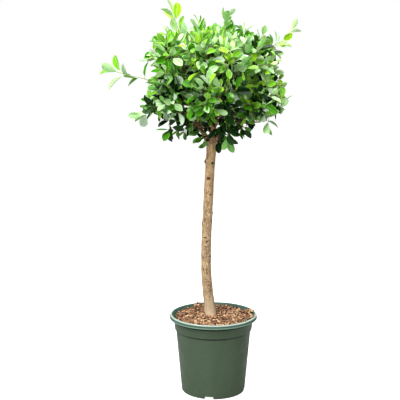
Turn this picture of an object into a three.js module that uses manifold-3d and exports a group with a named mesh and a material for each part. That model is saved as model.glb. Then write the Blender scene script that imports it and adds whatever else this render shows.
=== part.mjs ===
// A standard fig tree: one clear stem with a round, loosely clipped head of leaves, in a round nursery pot.
// Lengths are millimetres and angles are degrees. +Z is up, +X is to the right and +Y is to the back.
// The origin is the centre of the pot's flat underside. A bearing is the angle round the Z axis from +X.

import * as THREE from "three";
import { mergeVertices } from "three/addons/utils/BufferGeometryUtils.js";
import Module from "manifold-3d";

const wasm = await Module();
wasm.setup();

// Clearance between pieces that touch, and how near two vertices are one.
const SEAT_GAP = 0.3;
const WELD = 1e-3;

// Injection-moulded pot: tapered body, a wider collar, a rolled rim and drainage notches round the foot.
const POT = {
  height: 243,
  footRadius: 98,
  footFillet: 4,
  bodyTopRadius: 115,
  bodyTopHeight: 190,
  collarRadius: 118.8,
  collarTopRadius: 122,
  collarHeight: 194,
  rimRadius: 135,
  rimDrop: 13.5,
  rimCrestRadius: 128,
  rimThickness: 3,
  rimLip: 2,
  stepThickness: 1,
  wall: 2.4,
  base: 3,
  segments: 44,
  arcSteps: 3,
};
const NOTCH = { count: 4, bearing: 261.7, footWidth: 33, headWidth: 25, height: 8.5, depth: 28, liner: 2 };

// Compost to just under the rim, slightly mounded, with a level bed that the stem stands on.
const COMPOST = { edgeHeight: 232, bedHeight: 236, bedRadius: 52 };

// The stem: root flare at the compost, a slow S-bend, and a swollen head where the boughs leave it.
const STEM = {
  footHeight: COMPOST.bedHeight + SEAT_GAP,
  headHeight: 784,
  footRadius: 16.2,
  headRadius: 13.9,
  flare: 1.8,
  flareLength: 22,
  headSwell: 2.2,
  headSwellLength: 34,
  rings: 16,
  sides: 12,
  foot: [-8, 15],
  bends: [
    { height: 345, x: -20.4, y: 15 },
    { height: 425, x: -22.6, y: 13 },
    { height: 590, x: -16.5, y: 10 },
    { height: 760, x: -7, y: 6 },
  ],
  head: [-6, 5],
};

// The head of leaves: two rings of masses and a cap round a bare space that the boughs rise through.
const CORE_HEIGHT = 868;
const LOWER_RING = { name: "lower_mass", count: 6, bearing: 30, radius: 124, height: 900, spread: 96, rise: 64 };
const UPPER_RING = { name: "upper_mass", count: 5, bearing: 54, radius: 98, height: 988, spread: 98, rise: 94 };
const CAP = { name: "cap_mass", count: 1, bearing: 0, radius: 0, height: 1036, spread: 90, rise: 58 };
const MASS_DETAIL = 3;
const UNEVENNESS = 0.08;
const SWELL = { broadWave: 2.6, fineWave: 5.7, shift: 1.9 };

const LEADER = { footRadius: 9.5, tipRadius: 6, steps: 6, sides: 8, intoMass: 14, sway: 7 };
const LOWER_BOUGH = {
  name: "lower_bough",
  footRadius: 6.4,
  tipRadius: 4.4,
  footDrop: 12,
  footStagger: 5,
  elbowRise: 16,
  elbowReach: 28,
};
const UPPER_BOUGH = {
  name: "upper_bough",
  footRadius: 5.4,
  tipRadius: 3.8,
  footRise: 46,
  footStagger: 9,
  elbowDrop: 5,
};
const BOUGH = { steps: 5, sides: 6, intoMass: 12 };

// Young shoots that stand out of the head: where each leaves it, where it ends, and how wide its leaves spread.
const SHOOTS = [
  { name: "top_left", bearing: 190, foot: [84, 1036], tip: [138, 1192], spread: 24 },
  { name: "top_middle", bearing: 214, foot: [62, 1036], tip: [52, 1160], spread: 20 },
  { name: "top_right", bearing: 330, foot: [36, 1050], tip: [46, 1178], spread: 27 },
  { name: "right_tip", bearing: 352, foot: [150, 1008], tip: [254, 1128], spread: 22 },
  { name: "right_low", bearing: 344, foot: [180, 905], tip: [238, 900], spread: 30 },
  { name: "right_hanging", bearing: 328, foot: [160, 866], tip: [212, 818], spread: 23 },
  { name: "left_tip", bearing: 186, foot: [180, 948], tip: [336, 992], spread: 37 },
  { name: "left_high", bearing: 192, foot: [150, 1014], tip: [206, 1064], spread: 20 },
  { name: "left_low", bearing: 198, foot: [180, 882], tip: [258, 856], spread: 20 },
  { name: "left_hanging", bearing: 216, foot: [154, 862], tip: [172, 786], spread: 25 },
  { name: "front_hanging", bearing: 290, foot: [112, 862], tip: [118, 764], spread: 20 },
  { name: "back_right_high", bearing: 48, foot: [112, 1026], tip: [166, 1106], spread: 22 },
  { name: "back_high", bearing: 96, foot: [84, 1030], tip: [122, 1116], spread: 22 },
  { name: "back_side", bearing: 72, foot: [182, 930], tip: [262, 968], spread: 28 },
  { name: "back_left_side", bearing: 132, foot: [180, 960], tip: [252, 1010], spread: 28 },
  { name: "back_hanging", bearing: 108, foot: [150, 862], tip: [172, 792], spread: 24 },
];
const SHOOT = {
  steps: 6,
  sides: 6,
  stalkShare: 0.2,
  bow: 10,
  ripple: 0.16,
  rippleWave: 9,
  fullness: 0.8,
};

const COLOURS = {
  pot: { color: 0x4d5f49, roughness: 0.5, metalness: 0 },
  compost: { color: 0x9a6e4c, roughness: 0.95, metalness: 0 },
  bark: { color: 0xb59674, roughness: 0.85, metalness: 0 },
  bough: { color: 0x7d5e42, roughness: 0.85, metalness: 0 },
  leaf: { color: 0x4f8a2a, roughness: 0.55, metalness: 0 },
  youngLeaf: { color: 0x76b53a, roughness: 0.5, metalness: 0 },
};
const materials = Object.fromEntries(
  Object.entries(COLOURS).map(([name, look]) => [name, new THREE.MeshStandardMaterial(look)]),
);

// A point at a bearing and distance from the Z axis.
function polar(bearing, radius, height) {
  const angle = THREE.MathUtils.degToRad(bearing);
  return new THREE.Vector3(radius * Math.cos(angle), radius * Math.sin(angle), height);
}

// The geometry with only positions and its shared vertices merged.
function welded(geometry) {
  const bare = geometry.clone();
  for (const name of Object.keys(bare.attributes)) if (name !== "position") bare.deleteAttribute(name);
  return mergeVertices(bare, WELD);
}

function solidFrom(geometry) {
  const closed = welded(geometry);
  return new wasm.Manifold(
    new wasm.Mesh({
      numProp: 3,
      vertProperties: closed.attributes.position.array,
      triVerts: new Uint32Array(closed.index.array),
    }),
  );
}

function geometryFrom(solid) {
  const { vertProperties, triVerts } = solid.getMesh();
  const geometry = new THREE.BufferGeometry();
  geometry.setAttribute("position", new THREE.BufferAttribute(vertProperties, 3));
  geometry.setIndex(new THREE.BufferAttribute(triVerts, 1));
  return geometry;
}

// The largest body of a solid: a cut can leave slivers on the far side of the tool.
function mainBody(solid) {
  return solid.decompose().reduce((largest, body) => (body.volume() > largest.volume() ? body : largest));
}

const tree = new THREE.Group();

function addPiece(name, solid, material) {
  const flat = geometryFrom(solid).toNonIndexed();
  flat.computeVertexNormals();
  const mesh = new THREE.Mesh(flat, material);
  mesh.name = name;
  tree.add(mesh);
}

// A solid of revolution about Z, from [radius, height] pairs that run counterclockwise.
function turned(profile) {
  const points = profile.map(([radius, height]) => new THREE.Vector2(radius, height));
  return solidFrom(new THREE.LatheGeometry(points, POT.segments).rotateX(Math.PI / 2));
}

// Points on a quarter of a circle from one angle to another, both ends included.
function arc(centreRadius, centreHeight, radius, from, to, steps) {
  return Array.from({ length: steps + 1 }, (_, i) => {
    const angle = THREE.MathUtils.degToRad(THREE.MathUtils.lerp(from, to, i / steps));
    return [centreRadius + radius * Math.cos(angle), centreHeight + radius * Math.sin(angle)];
  });
}

// The pot's outer outline, from the middle of the underside to the crest of the rim.
function potOutside() {
  const { height, footRadius, footFillet, rimRadius, rimDrop, rimCrestRadius, rimLip, arcSteps } = POT;
  const rollRadius = rimRadius - rimCrestRadius;
  return [
    [0, 0],
    ...arc(footRadius - footFillet, footFillet, footFillet, -90, 0, arcSteps),
    [POT.bodyTopRadius, POT.bodyTopHeight],
    [POT.collarRadius, POT.collarHeight],
    [POT.collarTopRadius, height - rimDrop],
    [rimRadius - rimLip, height - rimDrop],
    ...arc(rimCrestRadius, height - rollRadius, rollRadius, 0, 90, arcSteps),
  ];
}

// The pot's inner outline, from the crest of the rim down to the middle of the base, set in by a clearance.
function potInside(inset) {
  const { height, wall, base, rimThickness, stepThickness } = POT;
  return [
    [POT.collarTopRadius - wall - inset, height - rimThickness],
    [POT.collarRadius - wall - inset, POT.collarHeight + stepThickness],
    [POT.bodyTopRadius - wall - inset, POT.bodyTopHeight + stepThickness],
    [POT.footRadius - wall - inset, POT.footFillet + base],
    [POT.footRadius - wall - POT.footFillet - inset, base + inset],
    [0, base + inset],
  ];
}

// A drainage notch's space, or the block of material that lines it, grown by a margin on every side but the floor.
function notchBlock(index, margin, below) {
  const half = NOTCH.footWidth / 2 + margin;
  const headHalf = NOTCH.headWidth / 2 + margin;
  const outline = new THREE.Shape([
    new THREE.Vector2(-half, -below),
    new THREE.Vector2(half, -below),
    new THREE.Vector2(headHalf, NOTCH.height + margin),
    new THREE.Vector2(-headHalf, NOTCH.height + margin),
  ]);
  const reach = POT.bodyTopRadius;
  const inner = POT.footRadius - NOTCH.depth - margin;
  const block = new THREE.ExtrudeGeometry(outline, { depth: reach - inner, bevelEnabled: false });
  // The outline's width runs along the tangent, its height along Z and its depth outwards.
  const bearing = THREE.MathUtils.degToRad(NOTCH.bearing + (index * 360) / NOTCH.count);
  const outward = new THREE.Vector3(Math.cos(bearing), Math.sin(bearing), 0);
  const up = new THREE.Vector3(0, 0, 1);
  const place = new THREE.Matrix4().makeBasis(up.clone().cross(outward), up, outward);
  place.setPosition(outward.multiplyScalar(inner));
  return solidFrom(block.applyMatrix4(place));
}

// The compost's outline: the pot's inside from the middle of the base up to the edge of the compost, then its top.
function compostOutline() {
  const [mouth, ...inside] = potInside(SEAT_GAP);
  const [step] = inside;
  const share = (COMPOST.edgeHeight - step[1]) / (mouth[1] - step[1]);
  return [
    ...inside.reverse(),
    [THREE.MathUtils.lerp(step[0], mouth[0], share), COMPOST.edgeHeight],
    [COMPOST.bedRadius, COMPOST.bedHeight],
    [0, COMPOST.bedHeight],
  ];
}

function buildPot() {
  const envelope = turned([...potOutside(), [0, POT.height]]);
  let pot = turned([...potOutside(), ...potInside(0)]);
  let compost = turned(compostOutline());
  for (let i = 0; i < NOTCH.count; i++) {
    pot = pot.add(notchBlock(i, NOTCH.liner, 0).intersect(envelope)).subtract(notchBlock(i, 0, 1));
    compost = compost.subtract(notchBlock(i, NOTCH.liner + SEAT_GAP, 1));
  }
  addPiece("pot", pot, materials.pot);
  addPiece("compost", compost, materials.compost);
}

// A round bar along a curve, with closed ends: radiusAt and the curve both run from 0 at the foot to 1 at the tip.
// A level bar has every ring flat, so that its ends are level cuts.
function taperedLimb(curve, radiusAt, steps, sides, level = false) {
  const bar = new THREE.CylinderGeometry(1, 1, 1, sides, steps);
  const { normals, binormals } = curve.computeFrenetFrames(steps, false);
  const position = bar.attributes.position;
  const point = new THREE.Vector3();
  for (let i = 0; i < position.count; i++) {
    point.fromBufferAttribute(position, i);
    const along = point.y + 0.5;
    const step = Math.round(along * steps);
    const across = level ? new THREE.Vector3(1, 0, 0) : normals[step];
    const aside = level ? new THREE.Vector3(0, -1, 0) : binormals[step].clone().negate();
    const radius = radiusAt(along);
    const place = curve.getPointAt(along);
    place.addScaledVector(across, point.x * radius).addScaledVector(aside, point.z * radius);
    position.setXYZ(i, place.x, place.y, place.z);
  }
  return solidFrom(bar);
}

// The stem's middle line from its flat cut on the compost to the top of its head.
function stemLine(footHeight, headHeight) {
  const bends = STEM.bends.map(({ height, x, y }) => new THREE.Vector3(x, y, height));
  const foot = new THREE.Vector3(...STEM.foot, footHeight);
  const head = new THREE.Vector3(...STEM.head, headHeight);
  return new THREE.CatmullRomCurve3([foot, ...bends, head]);
}

// The stem, or the space it needs when it is grown by a margin.
function stemSolid(margin) {
  const length = STEM.headHeight - STEM.footHeight;
  const radiusAt = (along) =>
    THREE.MathUtils.lerp(STEM.footRadius, STEM.headRadius, along) +
    STEM.flare * Math.exp((-along * length) / STEM.flareLength) +
    STEM.headSwell * Math.exp(((along - 1) * length) / STEM.headSwellLength) +
    margin;
  const line = stemLine(STEM.footHeight - margin, STEM.headHeight + margin);
  return taperedLimb(line, radiusAt, STEM.rings, STEM.sides, true);
}

// The centre of each mass in a ring.
function sitesOf(ring) {
  const bearingOf = (i) => ring.bearing + (i * 360) / ring.count;
  return Array.from({ length: ring.count }, (_, i) => polar(bearingOf(i), ring.radius, ring.height));
}

const rings = [LOWER_RING, UPPER_RING, CAP];
const masses = rings.flatMap((ring) =>
  sitesOf(ring).map((site, i) => ({ ring, site, name: ring.count > 1 ? `${ring.name}_${i + 1}` : ring.name })),
);
const core = new THREE.Vector3(0, 0, CORE_HEIGHT);

// How far a mass swells or sinks in a direction, as a share of its size. The index makes each mass its own shape.
function swell(direction, index) {
  const { broadWave, fineWave, shift } = SWELL;
  const turn = shift * index;
  const waves = direction.toArray().map((share, axis) => Math.sin(broadWave * share + turn * (axis + 1)));
  const bumps = direction.toArray().map((share, axis) => Math.cos(fineWave * share - turn * (axis + 1)));
  return UNEVENNESS * ((waves[0] + waves[1] + waves[2]) / 2 + bumps[0] * bumps[1] * bumps[2]);
}

// One uneven mass of leaves round its site. It stops at the plane halfway to each neighbour and to the bare core.
function massSolid(index, margin) {
  const { ring, site } = masses[index];
  const ball = welded(new THREE.IcosahedronGeometry(1, MASS_DETAIL));
  const neighbours = [core, ...masses.filter((_, i) => i !== index).map((mass) => mass.site)];
  const position = ball.attributes.position;
  const direction = new THREE.Vector3();
  for (let i = 0; i < position.count; i++) {
    direction.fromBufferAttribute(position, i).normalize();
    const level = Math.hypot(direction.x, direction.y);
    const lobe = 1 / Math.hypot(level / ring.spread, direction.z / ring.rise);
    let reach = lobe * (1 + swell(direction, index)) + margin;
    for (const neighbour of neighbours) {
      const apart = neighbour.clone().sub(site);
      const facing = direction.dot(apart) / apart.length();
      if (facing > 0) reach = Math.min(reach, (apart.length() / 2 - SEAT_GAP / 2 + margin) / facing);
    }
    position.setXYZ(i, ...direction.multiplyScalar(reach).add(site).toArray());
  }
  return solidFrom(ball);
}

// A bough's end: just inside a mass, on the way from a point to the mass's centre.
function entry(from, site, intoMass) {
  const face = core.clone().lerp(site, 0.5);
  const inward = site.clone().sub(from).normalize();
  return face.addScaledVector(inward, intoMass);
}

// The space taken so far round the fork, which later boughs are cut to.
let taken = stemSolid(SEAT_GAP);

function addBough(name, points, footRadius, tipRadius, steps, sides, target) {
  const curve = new THREE.CatmullRomCurve3(points);
  const radiusAt = (margin) => (along) => THREE.MathUtils.lerp(footRadius, tipRadius, along) + margin;
  const limb = taperedLimb(curve, radiusAt(0), steps, sides);
  addPiece(name, mainBody(limb.subtract(taken).subtract(massSolid(target, SEAT_GAP))), materials.bough);
  taken = taken.add(taperedLimb(curve, radiusAt(SEAT_GAP), steps, sides));
}

function indexOfMass(ring, i) {
  return masses.findIndex((mass) => mass.ring === ring) + i;
}

function buildBoughs() {
  const fork = stemLine(STEM.footHeight, STEM.headHeight).getPoint(1);
  const cap = masses[indexOfMass(CAP, 0)].site;
  const top = entry(fork, cap, LEADER.intoMass);
  const middle = fork.clone().lerp(top, 0.5).add(new THREE.Vector3(LEADER.sway, 0, 0));
  const leaderFoot = fork.clone().setZ(fork.z - LOWER_BOUGH.footDrop / 2);
  const leaderPoints = [leaderFoot, middle, top];
  const { footRadius, tipRadius, steps, sides } = LEADER;
  addBough("leader_bough", leaderPoints, footRadius, tipRadius, steps, sides, indexOfMass(CAP, 0));

  sitesOf(LOWER_RING).forEach((site, i) => {
    const { name, footRadius, tipRadius, footDrop, footStagger, elbowRise, elbowReach } = LOWER_BOUGH;
    const foot = fork.clone().setZ(fork.z - footDrop + (i % 2) * footStagger);
    const end = entry(foot, site, BOUGH.intoMass);
    const outward = site.clone().setZ(0).normalize();
    const elbow = foot.clone().addScaledVector(outward, elbowReach);
    elbow.z += elbowRise;
    const target = indexOfMass(LOWER_RING, i);
    addBough(`${name}_${i + 1}`, [foot, elbow, end], footRadius, tipRadius, BOUGH.steps, BOUGH.sides, target);
  });

  const leaderCurve = new THREE.CatmullRomCurve3(leaderPoints);
  const leaderLength = leaderCurve.getLength();
  sitesOf(UPPER_RING).forEach((site, i) => {
    // Feet of neighbouring boughs are two steps apart up the leader.
    const { name, footRadius, tipRadius, footRise, footStagger, elbowDrop } = UPPER_BOUGH;
    const rise = footRise + ((i * 2) % UPPER_RING.count) * footStagger;
    const foot = leaderCurve.getPointAt(rise / leaderLength);
    const end = entry(foot, site, BOUGH.intoMass);
    const elbow = foot.clone().lerp(end, 0.5);
    elbow.z -= elbowDrop;
    const target = indexOfMass(UPPER_RING, i);
    addBough(`${name}_${i + 1}`, [foot, elbow, end], footRadius, tipRadius, BOUGH.steps, BOUGH.sides, target);
  });
}

// A spindle of young leaves on a thin stalk, from inside the head out to the shoot's tip.
function shootSolid(shoot, index, margin) {
  const foot = polar(shoot.bearing, ...shoot.foot);
  const tip = polar(shoot.bearing, ...shoot.tip);
  const middle = foot.clone().lerp(tip, 0.5);
  middle.z += SHOOT.bow * Math.sign(tip.z - foot.z);
  const curve = new THREE.CatmullRomCurve3([foot, middle, tip]);
  const radiusAt = (along) => {
    const body = Math.abs(Math.sin(Math.PI * along)) ** SHOOT.fullness;
    const ripple = 1 + SHOOT.ripple * Math.sin(SHOOT.rippleWave * along + index);
    return shoot.spread * Math.max(SHOOT.stalkShare, body) * ripple + margin;
  };
  return taperedLimb(curve, radiusAt, SHOOT.steps, SHOOT.sides);
}

function buildHead() {
  masses.forEach((mass, i) => addPiece(mass.name, massSolid(i, 0), materials.leaf));
  let full = masses.reduce((sum, _, i) => sum.add(massSolid(i, SEAT_GAP)), taken);
  SHOOTS.forEach((shoot, i) => {
    addPiece(`shoot_${shoot.name}`, mainBody(shootSolid(shoot, i, 0).subtract(full)), materials.youngLeaf);
    full = full.add(shootSolid(shoot, i, SEAT_GAP));
  });
}

buildPot();
addPiece("stem", stemSolid(0), materials.bark);
buildBoughs();
buildHead();

export default tree;
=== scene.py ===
"""Dresses a potted standard fig tree: pot, mulch, bark, twigs and leaves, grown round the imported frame.

Lengths are metres in the frame's own axes: +Z is up, +X is to the right and +Y is to the back.
A bearing is an angle in degrees round the Z axis from +X.
"""

from __future__ import annotations

import functools
import logging
import math
import random
from collections.abc import Callable, Sequence
from dataclasses import dataclass, field, replace
from enum import Enum

import bmesh
import bpy
import numpy as np
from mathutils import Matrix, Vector, noise
from mathutils.bvhtree import BVHTree


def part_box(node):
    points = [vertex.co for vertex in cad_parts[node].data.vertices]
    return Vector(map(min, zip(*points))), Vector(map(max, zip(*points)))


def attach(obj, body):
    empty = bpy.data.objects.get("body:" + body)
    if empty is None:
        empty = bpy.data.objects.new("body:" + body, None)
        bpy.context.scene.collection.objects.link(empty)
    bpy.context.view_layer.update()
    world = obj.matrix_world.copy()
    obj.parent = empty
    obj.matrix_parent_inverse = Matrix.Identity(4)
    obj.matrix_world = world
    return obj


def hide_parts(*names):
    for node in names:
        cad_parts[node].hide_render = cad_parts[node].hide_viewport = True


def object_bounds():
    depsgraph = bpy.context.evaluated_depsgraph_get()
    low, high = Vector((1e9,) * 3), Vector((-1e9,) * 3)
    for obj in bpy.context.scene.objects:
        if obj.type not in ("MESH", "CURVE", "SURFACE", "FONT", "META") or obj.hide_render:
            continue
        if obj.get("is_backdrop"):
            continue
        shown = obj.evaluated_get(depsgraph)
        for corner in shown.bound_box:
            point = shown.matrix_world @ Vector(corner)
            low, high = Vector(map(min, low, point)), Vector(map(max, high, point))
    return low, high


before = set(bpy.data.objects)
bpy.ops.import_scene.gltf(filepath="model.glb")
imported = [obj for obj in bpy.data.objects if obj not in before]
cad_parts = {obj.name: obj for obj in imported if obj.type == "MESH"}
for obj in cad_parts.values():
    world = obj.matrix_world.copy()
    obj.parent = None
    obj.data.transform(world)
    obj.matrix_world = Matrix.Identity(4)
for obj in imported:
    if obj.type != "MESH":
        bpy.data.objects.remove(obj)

Pair = tuple[float, float]
Socket = bpy.types.NodeSocket

LOG = logging.getLogger("fig_tree")
ROOT_BODY = "root"
UP = Vector((0, 0, 1))
ASLANT = Vector((0.31, 0.52, 0.79))
GOLDEN_TURN = math.pi * (3 - math.sqrt(5))
LEAF_PARTS = 3


# ---------------- small helpers


def colour(code: str) -> tuple[float, float, float, float]:
    """Turns a six-figure sRGB code into a linear colour.

    Args:
        code: Red, green and blue as two hexadecimal figures each.

    Returns:
        Linear red, green, blue and a full alpha.
    """
    shares = [int(code[i : i + 2], 16) / 255 for i in (0, 2, 4)]
    linear = [s / 12.92 if s <= 0.04045 else ((s + 0.055) / 1.055) ** 2.4 for s in shares]
    return (*linear, 1.0)


def polar(bearing: float, radius: float, height: float) -> Vector:
    """The point at a bearing in degrees, a distance from the Z axis and a height."""
    angle = math.radians(bearing)
    return Vector((radius * math.cos(angle), radius * math.sin(angle), height))


def mean(points: Sequence[Vector]) -> Vector:
    """The middle of several points."""
    return sum(points, Vector()) / len(points)


def smooth_step(share: float) -> float:
    """Eases a share between 0 and 1 in and out, and holds it outside that range."""
    held = min(1.0, max(0.0, share))
    return held * held * (3 - 2 * held)


def vertices_of(node: str) -> np.ndarray:
    """The distinct vertices of a CAD node.

    Args:
        node: The node's name.

    Returns:
        One row of X, Y and Z for each vertex.
    """
    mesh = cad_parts[node].data
    places = np.empty(len(mesh.vertices) * 3, np.float32)
    mesh.vertices.foreach_get("co", places)
    return np.unique(places.reshape(-1, 3).round(5), axis=0).astype(float)


def nodes_named(prefix: str) -> list[str]:
    """The names of the CAD nodes that start with a prefix, in order."""
    return sorted(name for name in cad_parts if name.startswith(prefix))


def spindle_ends(places: np.ndarray, hub: Vector) -> tuple[np.ndarray, np.ndarray]:
    """The ends of a short thick node's axis: its tip is furthest from the hub, and its middle is on the axis.

    Args:
        places: The node's vertices.
        hub: The point that the node grows away from.

    Returns:
        The foot and the tip.
    """
    order = np.argsort(-np.linalg.norm(places - np.array(hub), axis=1))
    tip = places[order[:6]].mean(axis=0)
    way = tip - places.mean(axis=0)
    way /= np.linalg.norm(way)
    return tip + way * ((places - tip) @ way).min(), tip


def limb_ends(places: np.ndarray, near: Vector) -> tuple[np.ndarray, np.ndarray]:
    """The ends of a slender node.

    Args:
        places: The node's vertices.
        near: A point that the foot is nearest to.

    Returns:
        The foot and the tip.
    """
    start = places[np.argsort(np.linalg.norm(places - np.array(near), axis=1))[:5]].mean(axis=0)
    end = places[np.argsort(-np.linalg.norm(places - start, axis=1))[:3]].mean(axis=0)
    return start, end


def middle_line(places: np.ndarray, ends: tuple[np.ndarray, np.ndarray], stations: int) -> list[Vector]:
    """Finds the line through the middle of a limb.

    Args:
        places: The limb's vertices.
        ends: Its foot and tip.
        stations: How many points the line has.

    Returns:
        The line's points.
    """
    start, end = ends
    chord = end - start
    length = float(np.linalg.norm(chord))
    along = (places - start) @ chord / length
    width = length / (stations + 1)
    points = []
    for station in np.linspace(0, length, stations):
        weight = np.exp(-(((along - station) / width) ** 2))[:, None]
        centre = (places * weight).sum(axis=0) / weight.sum()
        centre += chord / length * (station - (centre - start) @ chord / length)
        points.append(Vector(centre))
    return points


def resampled(
    points: Sequence[Vector], values: Sequence[float], step: float
) -> tuple[list[Vector], list[float]]:
    """Lays evenly spaced points along a smooth curve through the given ones.

    Args:
        points: The points that the curve goes through.
        values: A number for each point, carried along the curve.
        step: The spacing asked for.

    Returns:
        The new points and their numbers.
    """
    knots = [points[0] * 2 - points[1], *points, points[-1] * 2 - points[-2]]
    fine: list[Vector] = []
    numbers: list[float] = []
    for i in range(len(points) - 1):
        before, here, there, after = knots[i : i + 4]
        parts = max(1, round((there - here).length / step))
        for k in range(parts):
            t = k / parts
            curve = (
                2 * here
                + (there - before) * t
                + (2 * before - 5 * here + 4 * there - after) * t**2
                + (3 * here - before - 3 * there + after) * t**3
            )
            fine.append(curve / 2)
            numbers.append(values[i] + (values[i + 1] - values[i]) * t)
    return [*fine, points[-1].copy()], [*numbers, values[-1]]


def bent_line(start: Vector, heading: Vector, end: Vector, arrival: Vector, parts: int) -> list[Vector]:
    """Draws a smooth line that leaves one point and arrives at another in given directions.

    Args:
        start: The first point.
        heading: The unit direction at the first point.
        end: The last point.
        arrival: The unit direction at the last point.
        parts: How many stretches the line has.

    Returns:
        The line's points, both ends included.
    """
    pull = (end - start).length
    line = []
    for k in range(parts + 1):
        t = k / parts
        line.append(
            start * (2 * t**3 - 3 * t**2 + 1)
            + heading * pull * (t**3 - 2 * t**2 + t)
            + end * (3 * t**2 - 2 * t**3)
            + arrival * pull * (t**3 - t**2)
        )
    return line


def mesh_object(
    name: str,
    vertices: Sequence[Sequence[float]],
    faces: Sequence[Sequence[int]] = (),
    edges: Sequence[tuple[int, int]] = (),
) -> bpy.types.Object:
    """Makes an object at the origin from vertices, with faces, loose edges or neither.

    Args:
        name: The object's name.
        vertices: Their places.
        faces: The vertex numbers of each face.
        edges: The vertex numbers of each loose edge.

    Returns:
        The new object, linked into the scene.
    """
    mesh = bpy.data.meshes.new(name)
    mesh.from_pydata([tuple(v) for v in vertices], list(edges), [tuple(f) for f in faces])
    mesh.update()
    made = bpy.data.objects.new(name, mesh)
    bpy.context.scene.collection.objects.link(made)
    return made


def shade_smooth(piece: bpy.types.Object, sharp_angle: float) -> None:
    """Shades a mesh smoothly, with edges kept sharp where it turns by more than an angle in degrees."""
    piece.data.shade_smooth()
    piece.data.set_sharp_from_angle(angle=math.radians(sharp_angle))


def evaluated_mesh(piece: bpy.types.Object) -> bpy.types.Mesh:
    """A plain mesh of an object as its modifiers leave it."""
    evaluated = piece.evaluated_get(bpy.context.evaluated_depsgraph_get())
    return bpy.data.meshes.new_from_object(evaluated)


def turned_rings(outline: Sequence[Pair], sides: int) -> list[list[Vector]]:
    """One ring of vertices round the Z axis for each radius and height of an outline."""
    turns = [i * math.tau / sides for i in range(sides)]
    return [[Vector((r * math.cos(a), r * math.sin(a), z)) for a in turns] for r, z in outline]


def closed_tube(rings: Sequence[Sequence[Vector]]) -> tuple[list[Vector], list[list[int]]]:
    """Joins rings of vertices into one closed tube.

    Args:
        rings: The rings from foot to tip, each counterclockwise as seen from the tip, with equal counts.

    Returns:
        The vertices and the faces, caps included.
    """
    sides = len(rings[0])
    vertices = [vertex for ring in rings for vertex in ring]
    faces = []
    for low in range(0, (len(rings) - 1) * sides, sides):
        for side in range(sides):
            aside = (side + 1) % sides
            faces.append([low + side, low + aside, low + sides + aside, low + sides + side])
    faces.append(list(range(sides))[::-1])
    faces.append(list(range(len(vertices) - sides, len(vertices))))
    return vertices, faces


def enrol(piece: bpy.types.Object, replaced: Sequence[str] = ()) -> None:
    """Rides a finished piece on the root body, hides the CAD nodes that it stands for and logs its triangle
    count.

    Args:
        piece: The finished piece.
        replaced: The CAD nodes that the piece replaces.
    """
    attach(piece, ROOT_BODY)
    if replaced:
        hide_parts(*replaced)
    piece.data.calc_loop_triangles()
    count = len(piece.data.loop_triangles)
    LOG.info("%s: %d triangles, stands for %d nodes", piece.name, count, len(replaced))


# ---------------- node trees


class NodeSheet:
    """Adds nodes to one tree and joins them."""

    def __init__(self, tree: bpy.types.NodeTree) -> None:
        """Starts on an empty tree."""
        self.tree = tree

    def add(self, kind: str, inputs: dict[str, object] | None = None, **settings: object) -> bpy.types.Node:
        """Adds one node.

        Args:
            kind: The node's type.
            inputs: A value, or an output to join, for each input by its name or identifier.
            settings: The node's own properties.

        Returns:
            The new node.
        """
        node = self.tree.nodes.new(kind)
        for name, value in settings.items():
            setattr(node, name, value)
        for name, value in (inputs or {}).items():
            socket = next(s for s in node.inputs if name in (s.identifier, s.name))
            if isinstance(value, Socket):
                self.tree.links.new(value, socket)
            else:
                socket.default_value = value
        return node

    def take(self, name: str, kind: str) -> Socket:
        """The output of a named attribute of the geometry, such as a point's size."""
        node = self.add("GeometryNodeInputNamedAttribute", {"Name": name}, data_type=kind)
        return node.outputs["Attribute"]

    def mixed(self, share: object, first: object, second: object) -> Socket:
        """The output of a mix of two colours by a share."""
        inputs = {"Factor_Float": share, "A_Color": first, "B_Color": second}
        node = self.add("ShaderNodeMix", inputs, data_type="RGBA")
        return next(s for s in node.outputs if s.identifier == "Result_Color")

    def ranged(
        self, value: object, low: float, high: float, to_low: float = 0.0, to_high: float = 1.0
    ) -> Socket:
        """The output of a value carried from one range to another and held there."""
        inputs = {"Value": value, "From Min": low, "From Max": high, "To Min": to_low, "To Max": to_high}
        return self.add("ShaderNodeMapRange", inputs).outputs["Result"]

    def reckoned(self, operation: str, *values: object) -> Socket:
        """The output of one sum, such as MULTIPLY, on up to three values or outputs."""
        inputs = dict(zip(("Value", "Value_001", "Value_002"), values))
        return self.add("ShaderNodeMath", inputs, operation=operation).outputs["Value"]

    def stretched(self, place: object, factors: object) -> Socket:
        """The output of a place multiplied by a factor along each axis."""
        inputs = {"Vector": place, "Vector_001": factors}
        return self.add("ShaderNodeVectorMath", inputs, operation="MULTIPLY").outputs["Vector"]

    def noised(self, place: object, scale: object, detail: float, roughness: float) -> Socket:
        """The output of a noise pattern, about 0.5 on average."""
        inputs = {"Vector": place, "Scale": scale, "Detail": detail, "Roughness": roughness}
        return self.add("ShaderNodeTexNoise", inputs).outputs["Fac"]

    def drawn(self, kind: str, least: object, most: object, seed: Socket) -> Socket:
        """The output of a random FLOAT_VECTOR, FLOAT or INT for each point, between two values."""
        place = ("FLOAT_VECTOR", "FLOAT", "INT").index(kind)
        tail = f"_{place:03d}" if place else ""
        inputs = {f"Min{tail}": least, f"Max{tail}": most, "Seed": seed}
        return self.add("FunctionNodeRandomValue", inputs, data_type=kind).outputs[place]

    def here(self) -> tuple[Socket, Socket]:
        """The outputs of the shaded point's place in the object, and of its height."""
        place = self.add("ShaderNodeTexCoord").outputs["Object"]
        return place, self.add("ShaderNodeSeparateXYZ", {"Vector": place}).outputs["Z"]

    def principled(self, inputs: dict[str, object]) -> bpy.types.Node:
        """Adds the main shader and joins it to the material's output."""
        shader = self.add("ShaderNodeBsdfPrincipled", inputs)
        self.add("ShaderNodeOutputMaterial", {"Surface": shader.outputs["BSDF"]})
        return shader


PATCH_NOISE = (0.42, 0.66)
SPECK_NOISE = (0.5, 0.68)


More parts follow.
